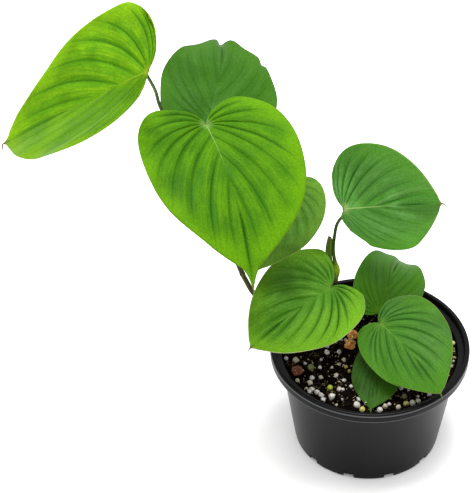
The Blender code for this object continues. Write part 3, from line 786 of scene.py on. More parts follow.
def pot_material():
    """Satin black moulded plastic with faint scuffs and dust, and painted shade and highlights at
    the rim.
    """
    made, tree, shader, mottle = mottled_material(
        "pot", "#040405", "#080809", patches=28.0, grains=2600.0, stretch=0.5, grain=0.15,
        Specular_IOR_Level=0.080,
    )
    here = add_node(tree, "ShaderNodeSeparateXYZ", {0: places(tree)}).outputs
    height = here["Z"]
    flat = add_node(tree, "ShaderNodeCombineXYZ", {0: here["X"], 1: here["Y"]}).outputs[0]
    radius = add_node(tree, "ShaderNodeVectorMath", {0: flat}, operation="LENGTH").outputs["Value"]

    # Painted shade darkens the rim's skirt below a painted highlight line under the rim's
    # rounding, and a second painted highlight line lies on the foot of the rim
    edge = POT_HEIGHT - LIP_HIGHLIGHT_DEPTH
    rim = ramp(tree, radius, POT_RIM_RADIUS - 0.0018, POT_RIM_RADIUS - 0.0006)
    painted_skirt_shade = product(tree, rim, ramp(tree, height, edge - 0.0002, edge - 0.0010))
    # Painted highlight line just under the rim's rounding
    painted_lip_highlight = product(
        tree, rim, ramp(tree, height, edge - 0.0006, edge - 0.0002),
        ramp(tree, height, edge + 0.0010, edge + 0.0005),
    )
    # Painted highlight line along the foot of the rim
    rim_foot = maths(tree, "LESS_THAN", height, POT_HEIGHT - RIM_DEPTH + RIM_FOOT_HIGHLIGHT)
    rim_foot = product(tree, rim_foot, rim)
    # Painted shade on the pot's inner wall from the soil up to the lip
    painted_inner_shade = maths(tree, "LESS_THAN", radius, POT_COLLAR_RADIUS + LIP_EDGE / 2)
    painted_inner_shade = product(tree, painted_inner_shade, ramp(tree, height, SOIL_LEVEL - 0.002, LEDGE_HEIGHT))

    foot = ramp(tree, height, 0.012, 0.0, 0.0, 0.5)
    level_streaks = places(tree, stretch=(60.0, 60.0, 900.0))
    scuffs = cloud(tree, level_streaks, 1.0, detail=4.0, roughness=0.65)
    scuff = ramp(tree, scuffs, 0.68, 0.80, 0.0, 0.25)
    dust = cloud(tree, places(tree), 420.0, detail=3.0, roughness=0.7)
    colour = tint(tree, mottle["Colour"], "#5a5650", dust, 0.62, 0.74, 0.0, 0.03)
    colour = blend(tree, scuff, colour, linear("#1e1e20"))
    # Painted shade: the rim's skirt and the inner wall take a near-black colour
    colour = blend(tree, maths(tree, "MAXIMUM", painted_skirt_shade, painted_inner_shade), colour, linear("#070708"))
    colour = blend(tree, foot, colour, linear("#0c0c0d"))
    # Painted highlight: the lines under the rim's rounding and on the rim's foot take a grey
    # colour
    colour = blend(tree, maths(tree, "MAXIMUM", painted_lip_highlight, rim_foot), colour, linear("#4a4a4c"))
    gloss = ramp(tree, mottle["Patch"], 0.3, 0.7, 0.30, 0.34)
    gloss = total(tree, gloss, product(tree, scuff, 0.4))
    coat(tree, shader, colour, mottle["Height"], strength=0.12, depth=0.0003, Roughness=gloss)
    return made


def soil_material(name, dark, light, rough):
    """Moist peat: near black, browner in clouds, with a coarse grain."""
    made, tree, shader, mottle = mottled_material(
        name, dark, light, patches=240.0, grains=1400.0, stretch=1.0, grain=0.7,
        Specular_IOR_Level=0.02,
    )
    colour = tint(tree, mottle["Colour"], "#38261a", own(tree, "tone"), 0.75, 1.0, 0.0, 0.7)
    gloss = ramp(tree, mottle["Patch"], 0.35, 0.65, rough - 0.15, rough)
    coat(tree, shader, colour, mottle["Height"], strength=0.9, depth=0.0010, Roughness=gloss)
    return made


def grain_material(name, dark, light, rough, tone_colour):
    """Small stones and fibres: each one's own tone decides how far it leans to its colour."""
    made, tree, shader, mottle = mottled_material(
        name, dark, light, patches=420.0, grains=2200.0, stretch=1.0, grain=0.22,
        Specular_IOR_Level=0.35, Roughness=rough,
    )
    colour = tint(tree, mottle["Colour"], tone_colour, own(tree, "tone"), 0.55, 1.0, 0.0, 0.8)
    coat(tree, shader, colour, mottle["Height"], strength=0.6, depth=0.0006)
    return made


def prill_material():
    """Coated feed beads, each in the colour that its mesh carries."""
    made, tree, shader = new_material("prills", Specular_IOR_Level=0.45, Roughness=0.38)
    colour = add_node(tree, "ShaderNodeAttribute", attribute_name="coat").outputs["Color"]
    cloudy = cloud(tree, places(tree), 700.0, detail=3.0)
    colour = tint(tree, colour, "#4e4a18", cloudy, 0.45, 0.7, 0.0, 0.35)
    coat(tree, shader, colour, cloudy, strength=0.3, depth=0.0004)
    return made


def bark_material(name, dark, light, spot):
    """Bark in two browns with pale spots."""
    made, tree, shader, mottle = mottled_material(
        name, dark, light, patches=300.0, grains=1500.0, stretch=2.5, grain=0.5,
        Specular_IOR_Level=0.25, Roughness=0.8,
    )
    spots = cloud(tree, places(tree), 650.0, detail=1.0)
    colour = tint(tree, mottle["Colour"], spot, spots, 0.62, 0.70)
    coat(tree, shader, colour, mottle["Height"], strength=0.8, depth=0.0010)
    return made


# Shape helpers


def add_piece(name, shape, finishes, slot, replaced=()):
    """Makes a bmesh a piece that rides on the plant and stands for the named CAD nodes."""
    mesh = mesh_from(name, shape)
    mesh.shade_smooth()
    for finish in finishes:
        mesh.materials.append(finish)
    made = link(name, mesh)
    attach(made, "root")
    if replaced:
        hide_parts(*replaced)
    return made


def bezier(a, b, c, d, t):
    """A place along a cubic curve from a to d, whose handles are b and c."""
    s = 1 - t
    return s * s * s * a + 3 * s * s * t * b + 3 * s * t * t * c + t * t * t * d


def bearing(angle):
    """The direction on a flat blade at an angle from the way to the tip."""
    return Vector((math.sin(math.radians(angle)), math.cos(math.radians(angle))))


def bell(distance, width):
    """1 at no distance, falling away over the width."""
    return math.exp(-((distance / width) ** 2))


def swollen(swelling, at):
    """How much a swelling adds to a stalk's radius at a distance from that end."""
    return swelling.height * bell(at - swelling.place, swelling.spread)


def raised(place, rise):
    """A place moved straight up."""
    return place + Vector((0, 0, rise))


def row_of(coordinate, rows):
    """Which of the rows of a new grid, whose coordinates run from -1 to 1, a point is in."""
    return round((coordinate + 1) / 2 * rows)


def link(name, data):
    """A new object of the scene with a mesh, a lamp or a camera."""
    made = bpy.data.objects.new(name, data)
    bpy.context.scene.collection.objects.link(made)
    return made


def mesh_from(name, shape):
    """A mesh of a bmesh, which is freed."""
    mesh = bpy.data.meshes.new(name)
    shape.to_mesh(mesh)
    shape.free()
    return mesh


# Blades


def margin_point(leaf, half, share):
    """A place on a half's outline, from the top of its lobe at share 0 to the tip at 1."""
    width = leaf.width[half]
    lobe_top = Vector((leaf.reach[half] * width, -leaf.lobe[half]))
    broadest = Vector((width, leaf.widest[half]))
    neck = Vector((NECK_PER_WIDTH * width, leaf.length * (1 - leaf.drip)))
    tip = Vector((0, leaf.length))
    if share < BROADEST_SHARE:
        out = Vector(((lobe_top.x + width) / 2, lobe_top.y))
        back = Vector((width, broadest.y - LOBE_FULLNESS * (broadest.y - lobe_top.y)))
        return bezier(lobe_top, out, back, broadest, share / BROADEST_SHARE)
    if share < NECK_SHARE:
        out = Vector((width, broadest.y + SIDE_FULLNESS * (neck.y - broadest.y)))
        back = Vector((neck.x + NECK_OUTWARD * width, neck.y - NECK_BACKWARD * leaf.length))
        along = (share - BROADEST_SHARE) / (NECK_SHARE - BROADEST_SHARE)
        return bezier(broadest, out, back, neck, along)
    out = neck + Vector((-neck.x / 2, DRIP_FULLNESS * leaf.drip * leaf.length))
    back = Vector((DRIP_FULLNESS * neck.x, leaf.length * (1 - DRIP_SLENDERNESS * leaf.drip)))
    return bezier(neck, out, back, tip, (share - NECK_SHARE) / (1 - NECK_SHARE))


def vein_point(leaf, half, spread, along):
    """A place on the flat blade: spread runs from the midrib at 0 to the lobe's inner edge
    at 1, and along runs from the vein's start to the margin."""
    start = Vector((0, LAST_VEIN * leaf.length * max(0.0, 1 - 2 * spread) ** VEIN_START_CROWDING))
    end = margin_point(leaf, half, 1 - spread)
    chord = end - start
    straight = math.degrees(math.atan2(chord.x, chord.y))
    bow = leaf.bow[half] * spread**VEIN_BOW_GROWTH
    reach = VEIN_HANDLE * chord.length
    first = start + reach * bearing(straight + bow)
    second = end - reach * bearing(straight - bow)
    return bezier(start, first, second, end, along)


def camera_axes():
    """The directions ahead of the camera and up in its picture; its right is the X axis."""
    down = math.radians(CAMERA_DOWN)
    ahead = Vector((0, math.cos(down), -math.sin(down)))
    return ahead, Vector((0, math.sin(down), math.cos(down)))


def view_direction(angle):
    """The direction in the picture's plane at an angle from its right, turning up."""
    turn = math.radians(angle)
    return math.cos(turn) * Vector((1, 0, 0)) + math.sin(turn) * camera_axes()[1]


def leaf_axes(leaf):
    """The blade's directions at its base: to the tip, to its right, and out of its top."""
    heading, rise, roll = (math.radians(a) for a in (leaf.heading, leaf.rise, leaf.roll))
    ahead = Vector((math.cos(heading), math.sin(heading), 0))
    upward = Vector((0, 0, 1))
    tipward = ahead * math.cos(rise) + upward * math.sin(rise)
    level = tipward.cross(upward).normalized()
    above = level.cross(tipward)
    right = level * math.cos(roll) + above * math.sin(roll)
    return tipward, right, above * math.cos(roll) - level * math.sin(roll)


def bent(start_angle, turn, distance):
    """How far across and up a strip reaches that starts at an angle and turns evenly."""
    if abs(turn) < 1e-6:
        return distance * math.cos(start_angle), distance * math.sin(start_angle)
    end_angle = start_angle + turn * distance
    across = (math.sin(end_angle) - math.sin(start_angle)) / turn
    return across, (math.cos(start_angle) - math.cos(end_angle)) / turn


def blade_point(leaf, axes, half, flat, lift):
    """The world place of a flat blade point, raised from the blade by lift."""
    tipward, right, above = axes
    side = 1 if half else -1
    curl = math.radians(leaf.curl[half]) / leaf.width[half]
    across, up = bent(math.radians(leaf.fold[half]), curl, flat.x)
    across, up = side * across, up + lift
    if flat.y > 0:
        turn = -math.radians(leaf.arch) / leaf.length
        slope = turn * flat.y
        forward, rise = bent(0, turn, flat.y)
    else:
        turn = -math.radians(leaf.droop[half]) / leaf.lobe[half]
        slope = -turn * -flat.y
        forward, rise = bent(0, turn, -flat.y)
        forward = -forward
    twist = math.radians(leaf.twist) * flat.y / leaf.length
    across, up = (
        across * math.cos(twist) - up * math.sin(twist),
        across * math.sin(twist) + up * math.cos(twist),
    )
    forward -= up * math.sin(slope)
    rise += up * math.cos(slope)
    return Vector(leaf.base) + forward * tipward + across * right + rise * above


def pleat(leaf, half, spread, along):
    """How far the blade stands above its even surface: creased down at veins, round between."""
    fullness = math.sin(math.pi * min(1.0, PLEAT_SPAN * along**PLEAT_ONSET))
    fullness *= PLEAT_FULLNESS[leaf.letter][half]
    mood = Vector((2.6 * spread, 3 * half, LEAVES.index(leaf)))
    fullness *= 1 + PLEAT_VARIATION * noise.noise(mood)
    phase = math.pi * VEINS_PER_SIDE * spread
    wave = 2 * abs(math.sin(phase)) ** PLEAT_SHARPNESS - 1
    wave += FINE_PLEAT * (2 * abs(math.sin(2 * phase)) - 1)
    ripple = leaf.ripple * along**2 * math.sin(2 * math.pi * RIPPLES * spread + 2 * half)
    lift = PLEAT_PER_LENGTH * leaf.length * fullness * wave + ripple * min(1.0, 6 * spread)
    for dent in DENTS:
        if (dent.letter, dent.half) == (leaf.letter, half):
            lift -= dent.depth * bell(spread - dent.spread, dent.width) * along**dent.reach
    return lift


def ray_spreads():
    """The spread of each ray of a half, crowded about the veins."""
    spreads = []
    for step in range(VEINS_PER_SIDE * RAYS_PER_GAP):
        gap, part = divmod(step, RAYS_PER_GAP)
        share = part / RAYS_PER_GAP
        share -= RAY_CROWDING * math.sin(2 * math.pi * share) / (2 * math.pi)
        spreads.append((gap + share) / VEINS_PER_SIDE)
    return [*spreads, 1.0]


def gap_at(flats, spreads, ray, row):
    """The width between neighbouring veins at a point of the flat grid."""
    before, after = max(0, ray - 1), min(len(spreads) - 1, ray + 1)
    low, high = max(0, row - 1), min(BLADE_ROWS, row + 1)
    across = flats[after][row] - flats[before][row]
    ahead = flats[ray][high] - flats[ray][low]
    veins = VEINS_PER_SIDE * (spreads[after] - spreads[before])
    if ahead.length < SAME_POINT:
        return 0.0
    return abs(across.cross(ahead)) / ahead.length / veins


def blade(leaf):
    """A thin pleated blade on a grid of rays, thicker below along its midrib and veins."""
    spreads = ray_spreads()
    rays = len(spreads) - 1
    alongs = [(row / BLADE_ROWS) ** ROW_CROWDING for row in range(BLADE_ROWS + 1)]
    flats = [
        [[vein_point(leaf, half, spread, along) for along in alongs] for spread in spreads]
        for half in (0, 1)
    ]
    axes = leaf_axes(leaf)
    # Painted light: the blade is lightened toward one side in the picture and darkened by painted
    # shade on the other, this strongly
    painted_light_angle, painted_light_strength = PAINTED_LIGHT_SIDES[leaf.letter]
    toward = painted_light_strength / leaf.length * view_direction(painted_light_angle)
    shape = bmesh.new()
    numbers = {name: shape.verts.layers.float.new(name) for name in BLADE_NUMBERS}
    thickness = shape.verts.layers.deform.verify()
    bmesh.ops.create_grid(shape, x_segments=2 * rays, y_segments=BLADE_ROWS, size=1.0)
    for vert in shape.verts:
        column = round((vert.co.x + 1) * rays)
        row = row_of(vert.co.y, BLADE_ROWS)
        half = 1 if column > rays else 0
        ray = abs(column - rays)
        spread, along = spreads[ray], alongs[row]
        flat = flats[half][ray][row]
        gap = gap_at(flats[half], spreads, ray, row)
        vein = abs((VEINS_PER_SIDE * spread + 0.5) % 1 - 0.5) * gap
        margin = (flats[half][ray][-1] - flat).length
        midrib = flat.x if flat.y > 0 else flat.length
        tipward = flat.y / leaf.length
        settled = min(1.0, gap / SETTLED_GAP) * min(1.0, margin / SETTLED_MARGIN)
        groove = GROOVE_DEPTH * settled * bell(vein, GROOVE_WIDTH)
        groove += MIDRIB_GROOVE * max(0.0, 1 - tipward) * bell(midrib, MIDRIB_WIDTH)
        waver = WAVER * noise.noise(flat.to_3d() / WAVER_SIZE + Vector((0, 0, 5 * half)))
        waver *= min(1.0, midrib / WAVER_ONSET)
        lift = pleat(leaf, half, spread, along) - groove + waver
        vert.co = blade_point(leaf, axes, half, flat, lift)
        rib = RIB_HEIGHT * max(0.0, 1 - tipward) ** 0.8 * bell(midrib, RIB_WIDTH)
        body = BLADE_EDGE + (BLADE_BODY - BLADE_EDGE) * min(1.0, margin / EDGE_TAPER)
        under = max(body, rib, body + VEIN_HEIGHT * settled * bell(vein, GROOVE_WIDTH))
        vert[thickness][0] = min(1.0, under / RIB_HEIGHT)
        clarity = 1 + (VEIN_CLARITY[leaf.letter][half] - 1) * min(1.0, midrib / CLEAR_MIDRIB)
        mood = Vector((1.7 * round(VEINS_PER_SIDE * spread), 3 * half, LEAVES.index(leaf)))
        clarity *= 1 + CLARITY_VARIATION * noise.noise(mood)
        # How far toward the painted-light side a point lies; below nought it takes painted shade
        painted_light = (vert.co - Vector(leaf.base)).dot(toward)
        vein_place = VEINS_PER_SIDE * spread
        measured = (
            vein_place, gap, margin, tipward, midrib, along, flat.length, clarity, painted_light,
        )
        for name, value in zip(BLADE_NUMBERS, measured):
            vert[numbers[name]] = value
    bmesh.ops.remove_doubles(shape, verts=shape.verts, dist=SAME_POINT)
    node = "leaf_" + leaf.letter
    finishes = [blade_material(leaf, False), blade_material(leaf, True)]
    made = add_piece(node + "_blade", shape, finishes, LOOKS[leaf.letter].slot, [node])
    made.vertex_groups.new(name="underside")
    wall = made.modifiers.new("underside", "SOLIDIFY")
    wall.thickness = RIB_HEIGHT
    wall.offset = -1.0
    wall.vertex_group = "underside"
    wall.thickness_vertex_group = 0.0
    wall.material_offset = 1
    return made


def tip_thread(leaf, finish):
    """The blade's dried tip: a thread that goes on from the midrib and hooks down."""
    length, drop = TIP_THREADS[leaf.letter]
    axes = leaf_axes(leaf)
    spots = [
        blade_point(leaf, axes, 1, Vector((0, share * leaf.length)), -BLADE_EDGE)
        for share in THREAD_ROOT_SHARES
    ]
    way = (spots[-1] - spots[-2]).normalized()
    for _ in range(THREAD_SPANS):
        way = raised(way, -drop).normalized()
        spots.append(spots[-1] + length / THREAD_SPANS * way)
    route = smooth_route(spots, THREAD_STEPS_PER_SPAN)

    def radius_at(at, whole):
        return THREAD_RADIUS + THREAD_SWELL * math.sin(math.pi * min(0.9, 0.3 + 0.7 * at / whole))

    def dryness(at, whole):
        return share_along(at, whole) * (1.0 if leaf.letter in DRIED_TIPS else FRESH_DRYNESS)

    name = "leaf_" + leaf.letter + "_tip"
    slot = LOOKS[leaf.letter].slot
    return tube_piece(name, route, radius_at, THREAD_SIDES, {"along": dryness}, finish, slot)


# Stems, stalks and the sheath


def smooth_route(points, steps):
    """Points along a smooth curve through the given places, which it keeps."""
    points = [Vector(point) for point in points]
    ends = [2 * points[0] - points[1], *points, 2 * points[-1] - points[-2]]
    route = []
    for before, here, there, after in zip(ends, ends[1:], ends[2:], ends[3:]):
        reach = (there - here).length / 3
        way_out = reach * (there - before).normalized()
        way_in = reach * (after - here).normalized()
        for step in range(steps):
            route.append(bezier(here, here + way_out, there - way_in, there, step / steps))
    return [*route, points[-1]]


def stem_route(name, steps):
    """Points along a stem from soil level up."""
    return smooth_route(STEM_ROUTES[name], steps)


def stem_place(name, share):
    """A place along a stem's visible length and the stem's direction there."""
    route = stem_route(name, TUBE_STEPS_PER_SPAN)
    spot = share * (len(route) - 1)
    index = min(int(spot), len(route) - 2)
    here, there = route[index], route[index + 1]
    return here.lerp(there, spot - index), (there - here).normalized()


def route_frames(route):
    """A turned and placed frame at each point of a route, with no twist between them."""
    frames = []
    across = Vector((1, 0, 0))
    for before, here, after in zip([route[0], *route], route, [*route[1:], route[-1]]):
        way = (after - before).normalized()
        across = (across - across.dot(way) * way).normalized()
        upward = way.cross(across)
        turned = Matrix((across, upward, way)).transposed().to_4x4()
        frames.append(Matrix.Translation(here) @ turned)
    return frames


def sweep(shape, route, radii, sides):
    """Extrudes a circle along a route into a closed tube, and gives its rings of vertices."""
    frames = [
        placed @ Matrix.Diagonal((radius, radius, radius, 1.0))
        for placed, radius in zip(route_frames(route), radii)
    ]
    ring = bmesh.ops.create_circle(shape, cap_ends=True, segments=sides, radius=1.0)["verts"]
    edges = list({edge for vert in ring for edge in vert.link_edges})
    bmesh.ops.transform(shape, matrix=frames[0], verts=ring)
    rings = [ring]
    for before, after in zip(frames, frames[1:]):
        grown = bmesh.ops.extrude_edge_only(shape, edges=edges)["geom"]
        ring = [part for part in grown if isinstance(part, bmesh.types.BMVert)]
        fresh = set(ring)
        edges = [
            part for part in grown
            if isinstance(part, bmesh.types.BMEdge) and fresh.issuperset(part.verts)
        ]
        bmesh.ops.transform(shape, matrix=after @ before.inverted(), verts=ring)
        rings.append(ring)
    bmesh.ops.edgeloop_fill(shape, edges=edges)
    return rings


def lengths_along(route):
    """How far along the route each of its points lies."""
    reached = [0.0]
    for here, there in zip(route, route[1:]):
        reached.append(reached[-1] + (there - here).length)
    return reached


def tube_piece(name, route, radius_at, sides, numbers, finish, slot, replaced=()):
    """A closed tube whose radius and own numbers are functions of the distance along it."""
    reached = lengths_along(route)
    shape = bmesh.new()
    layers = [(shape.verts.layers.float.new(label), rule) for label, rule in numbers.items()]
    rings = sweep(shape, route, [radius_at(at, reached[-1]) for at in reached], sides)
    for ring, at in zip(rings, reached):
        for layer, rule in layers:
            for vert in ring:
                vert[layer] = rule(at, reached[-1])
    bmesh.ops.recalc_face_normals(shape, faces=shape.faces)
    return add_piece(name, shape, [finish], slot, replaced)


def share_along(at, length):
    """How far along a route a distance is, from 0 to 1."""
    return at / length


def stalk(leaf, finish):
    """A leaf stalk: it clasps its stem, runs slender and swells a little below the blade."""
    plan = STALKS[leaf.letter]
    place, along = stem_place(plan.stem, plan.along)
    passes = [Vector(spot) for spot in plan.passes]
    if plan.along < 1:
        side = math.radians(plan.side)
        outward = Vector((math.cos(side), math.sin(side), 0))
        outward = (outward - outward.dot(along) * along).normalized()
        start = place + (STEM_RADIUS + GAP + STALK_FOOT_RADIUS * math.cos(math.pi / 4)) * outward
        root = start - STEM_RADIUS * (ROOT_INWARD * outward + ROOT_DOWNWARD * along)
        along = (outward + along).normalized()
    else:
        start = place + 2 * GAP * along
        root = start - STALK_LIFT * along
    above = leaf_axes(leaf)[2]
    base = Vector(leaf.base)
    downward = ((passes[-1] - base).normalized() - STALK_TURN * above).normalized()
    tilt = math.acos(-downward.dot(above))
    droop = math.radians(max(0, -min(leaf.fold)))
    clear = BLADE_BODY / 2 + STALK_RADIUS * math.tan(droop + tilt / 2)
    end = base - clear * above
    near = [root, start, start + STALK_LIFT * along]
    far = [end + STALK_LIFT * downward, end, base - BLADE_BODY * above]
    route = smooth_route([*near, *passes, *far], FINE_STEPS_PER_SPAN)

    young = leaf.letter in YOUNG_STALKS

    def youth(at, _length):
        return bell(at - YOUNG_FOOT.place, YOUNG_FOOT.spread) if young else 0.0

    def radius_at(at, length):
        clasp = swollen(CLASP, at) + YOUNG_FOOT.height * youth(at, length)
        slim = STALK_RADIUS + STALK_TAPER * (1 - at / length)
        tuck = min(1.0, 0.35 + (length - at) / STALK_RADIUS)
        return (slim + clasp + swollen(BELOW_BLADE, length - at)) * tuck

    node = "stalk_" + leaf.letter
    numbers = {"along": share_along, "young": youth}
    return tube_piece(
        node + "_fine", route, radius_at, STALK_SIDES, numbers, finish, "stalk", [node]
    )


def stem(name, finish):
    """A stem with a swollen ring and a scar at each node and a rounded end."""
    route = stem_route(name, FINE_STEPS_PER_SPAN)
    route.insert(0, raised(route[0], -STEM_BURIED))
    reached = lengths_along(route)
    shares = [plan.along for plan in STALKS.values() if plan.stem == name]
    if name == "stem_tall":
        shares += BARE_NODES
    nodes = [reached[1] + share * (reached[-1] - reached[1]) for share in shares]

    def radius_at(at, length):
        ring = max(bell(at - node, STEM_RING_LENGTH) for node in nodes)
        slender = 1 - STEM_TAPER * at / length
        end = min(1.0, 0.5 + (length - at) / STEM_END)
        return STEM_RADIUS * slender * (1 + STEM_RING * ring) * end

    def scar(at, _length):
        return max(bell(at - node, SCAR_LENGTH) for node in nodes)

    numbers = {"along": share_along, "scar": scar}
    return tube_piece(
        name + "_fine", route, radius_at, STEM_SIDES, numbers, finish, "stem", [name]
    )


def sheath(finish):
    """A papery sheet rolled round into a blunt, slit sleeve that narrows to its tip."""
    route = smooth_route(SHEATH_ROUTE, FINE_STEPS_PER_SPAN)
    frames = route_frames(route)
    rows = len(route) - 1
    shape = bmesh.new()
    along = shape.verts.layers.float.new("along")
    bmesh.ops.create_grid(shape, x_segments=SHEATH_COLUMNS, y_segments=rows, size=1.0)
    for vert in shape.verts:
        turn = vert.co.x
        share = row_of(vert.co.y, rows) / rows
        drop = SLIT_DROP * turn * turn * share
        level = max(0.0, share - drop) * rows
        placed = frames[min(rows, round(level))]
        radius = SHEATH_RADIUS * (1 - SHEATH_BULGE + SHEATH_BULGE * math.sin(math.pi * share))
        radius *= 1 - SHEATH_TAPER * share**12
        radius *= 1 + SHEATH_NERVE * math.sin(SHEATH_NERVES * math.pi * turn)
        angle = math.radians(SHEATH_WRAP) * turn + math.radians(SHEATH_FACING)
        vert.co = placed @ Vector((radius * math.cos(angle), radius * math.sin(angle), 0))
        vert[along] = share
    made = add_piece("sheath_paper", shape, [finish], "sheath", ["sheath"])
    wall = made.modifiers.new("paper", "SOLIDIFY")
    wall.thickness = SHEATH_WALL
    wall.offset = -1.0
    return made


# Pot


def rounded(corners, steps=5):
    """A profile through corners (radius, height, rounding), each turned on a small arc."""
    points = []
    ends = [corners[0], *corners, corners[-1]]
    for before, corner, after in zip(ends, corners, ends[2:]):
        here = Vector(corner[:2])
        size = corner[2]
        if size == 0:
            points.append(here)
            continue
        back = (Vector(before[:2]) - here).normalized() * size
        ahead = (Vector(after[:2]) - here).normalized() * size
        for step in range(steps + 1):
            share = step / steps
            points.append(here + (1 - share) ** 2 * back + share**2 * ahead)
    return points


def pot_corners():
    """The pot's section as corners (radius, height, rounding), from the middle of its floor up
    inside, over the lip and down outside."""
    collar_foot = LEDGE_HEIGHT + LEDGE_RISE
    rim_foot = POT_HEIGHT - RIM_DEPTH
    rim_inside = POT_RIM_RADIUS - RIM_WALL
    rim_channel = POT_HEIGHT - 2 * LIP_EDGE
    under_ledge = LEDGE_HEIGHT - POT_WALL
    above_slots = DRAIN_SLOT_HEIGHT + FOOT_ROUND
    return (
        (0, POT_FLOOR, 0),
        (POT_FOOT_RADIUS - POT_WALL, POT_FLOOR, FOOT_ROUND),
        (POT_MOUTH_RADIUS, LEDGE_HEIGHT, LEDGE_ROUND),
        (POT_COLLAR_RADIUS, collar_foot, LEDGE_ROUND),
        (POT_COLLAR_RADIUS + LIP_EDGE / 2, POT_HEIGHT, COLLAR_ROUND),
        (POT_RIM_RADIUS, POT_HEIGHT, LIP_ROUND),
        (POT_RIM_RADIUS - LIP_EDGE / 4, rim_foot, RIM_FOOT_ROUND),
        (rim_inside - LIP_EDGE / 4, rim_foot, RIM_INNER_ROUND),
        (rim_inside, rim_channel, 0),
        (POT_COLLAR_RADIUS + POT_WALL, rim_channel, 0),
        (POT_COLLAR_RADIUS + POT_WALL, collar_foot - POT_WALL, CHANNEL_ROUND),
        (POT_FOOT_RADIUS + WALL_SLOPE * under_ledge, under_ledge, UNDER_LEDGE_ROUND),
        (POT_FOOT_RADIUS + WALL_SLOPE * above_slots, above_slots, 0),
        (POT_FOOT_RADIUS, 0, FOOT_ROUND),
        (0, 0, 0),
    )


def drain_slots():
    """The blocks that are cut out of the pot's foot, as a mesh."""
    shape = bmesh.new()
    size = (2 * DRAIN_SLOT_DEPTH, DRAIN_SLOT_WIDTH, 2 * DRAIN_SLOT_HEIGHT, 1.0)
    for slot in range(DRAIN_SLOTS):
        turn = 2 * math.pi * (slot + 0.5) / DRAIN_SLOTS - math.pi / 2
        placed = Matrix.Rotation(turn, 4, "Z") @ Matrix.Translation((POT_FOOT_RADIUS, 0, 0))
        cube = bmesh.ops.create_cube(shape, size=1.0, matrix=placed @ Matrix.Diagonal(size))
        upper = [
            edge for edge in {edge for vert in cube["verts"] for edge in vert.link_edges}
            if all(vert.co.z > 0 for vert in edge.verts)
        ]
        bmesh.ops.bevel(
            shape, geom=upper, offset=DRAIN_SLOT_ROUND, offset_type="OFFSET", affect="EDGES",
            segments=3, profile=0.5, material=-1,
        )
    return mesh_from("drain_slots", shape)


def pot(finish):
    """The pot: its section turned once round, with the drain slots cut out of its foot."""
    shape = bmesh.new()
    corners = [shape.verts.new((point.x, 0, point.y)) for point in rounded(pot_corners())]
    for here, there in zip(corners, corners[1:]):
        shape.edges.new((here, there))
    bmesh.ops.spin(
        shape, geom=[*shape.verts, *shape.edges], cent=(0, 0, 0), axis=(0, 0, 1),
        angle=2 * math.pi, steps=POT_STEPS, use_merge=True,
    )
    bmesh.ops.remove_doubles(shape, verts=shape.verts, dist=SAME_POINT)
    bmesh.ops.recalc_face_normals(shape, faces=shape.faces)
    made = add_piece("pot_shell", shape, [finish], "pot", ["pot"])
    cutter = link("drain_slots", drain_slots())
    cut = made.modifiers.new("drain slots", "BOOLEAN")
    cut.object = cutter
    evaluated = made.evaluated_get(bpy.context.evaluated_depsgraph_get())
    solid = bpy.data.meshes.new_from_object(evaluated)
    made.modifiers.clear()
    made.data = solid
    bpy.data.objects.remove(cutter)
    solid.shade_smooth()
    solid.set_sharp_from_angle(angle=math.radians(POT_SHARP_ANGLE))
    return made


# Soil and what lies on it


def soil_height(x, y):
    """The even surface of the soil, with its broad lumps."""
    share = min(1.0, math.hypot(x, y) / SOIL_RADIUS)
    spot = Vector((x, y, 0))
    lump = SOIL_LUMP * noise.noise(spot / SOIL_LUMP_SIZE) * (1 - share**6)
    return SOIL_LEVEL + SOIL_CROWN * (1 - share**2) + lump


def crumbled(x, y):
    """How far clods and crumbs stand out of the even surface."""
    spot = Vector((x, y, 0))
    clod = noise.noise(spot / SOIL_CLOD_SIZE + Vector((3, 0, 0)))
    crumb = noise.noise(spot / SOIL_CRUMB_SIZE + Vector((0, 7, 0)))
    return SOIL_CLOD * (abs(clod) - CLOD_SINK) + SOIL_CRUMB * crumb


def soil(finish):
    """The soil in the pot: a crumbled top on sides and a floor that follow the pot's wall."""
    floor = POT_FLOOR + GAP
    corner = floor + FOOT_ROUND
    foot = POT_FOOT_RADIUS - POT_WALL - 2 * GAP
    below = ((foot + WALL_SLOPE * corner, corner), (foot - FOOT_ROUND, floor), (0, floor))
    shape = bmesh.new()
    tone = shape.verts.layers.float.new("tone")
    columns = SOIL_RINGS + len(below)
    bmesh.ops.create_grid(shape, x_segments=columns, y_segments=SOIL_SECTORS, size=1.0)
    for vert in shape.verts:
        column = row_of(vert.co.x, columns)
        turn = math.pi * (vert.co.y + 1)
        if column > SOIL_RINGS:
            radius, height = below[column - SOIL_RINGS - 1]
        else:
            radius = column / SOIL_RINGS * SOIL_RADIUS
        x, y = radius * math.cos(turn), radius * math.sin(turn)
        if column <= SOIL_RINGS:
            height = soil_height(x, y) + crumbled(x, y) * min(1.0, 12 * (1 - column / SOIL_RINGS))
        vert.co = (x, y, height)
        vert[tone] = 0.5 + 0.5 * noise.noise(Vector((x, y, 0)) / SOIL_TONE_SIZE)
    bmesh.ops.remove_doubles(shape, verts=shape.verts, dist=SAME_POINT)
    bmesh.ops.recalc_face_normals(shape, faces=shape.faces)
    return add_piece("soil_bed", shape, [finish], "soil", ["soil"])


def view_ray(u, v):
    """The direction in which the camera sees a pixel of the photograph."""
    ahead, upward = camera_axes()
    across = (u - PHOTO_WIDTH / 2) / FOCAL_PIXELS
    return ahead + across * Vector((1, 0, 0)) - (v - PHOTO_HEIGHT / 2) / FOCAL_PIXELS * upward


def on_soil(x, y, lift=0.0):
    """A place at a lift over the even surface of the soil."""
    return Vector((x, y, soil_height(x, y) + lift))


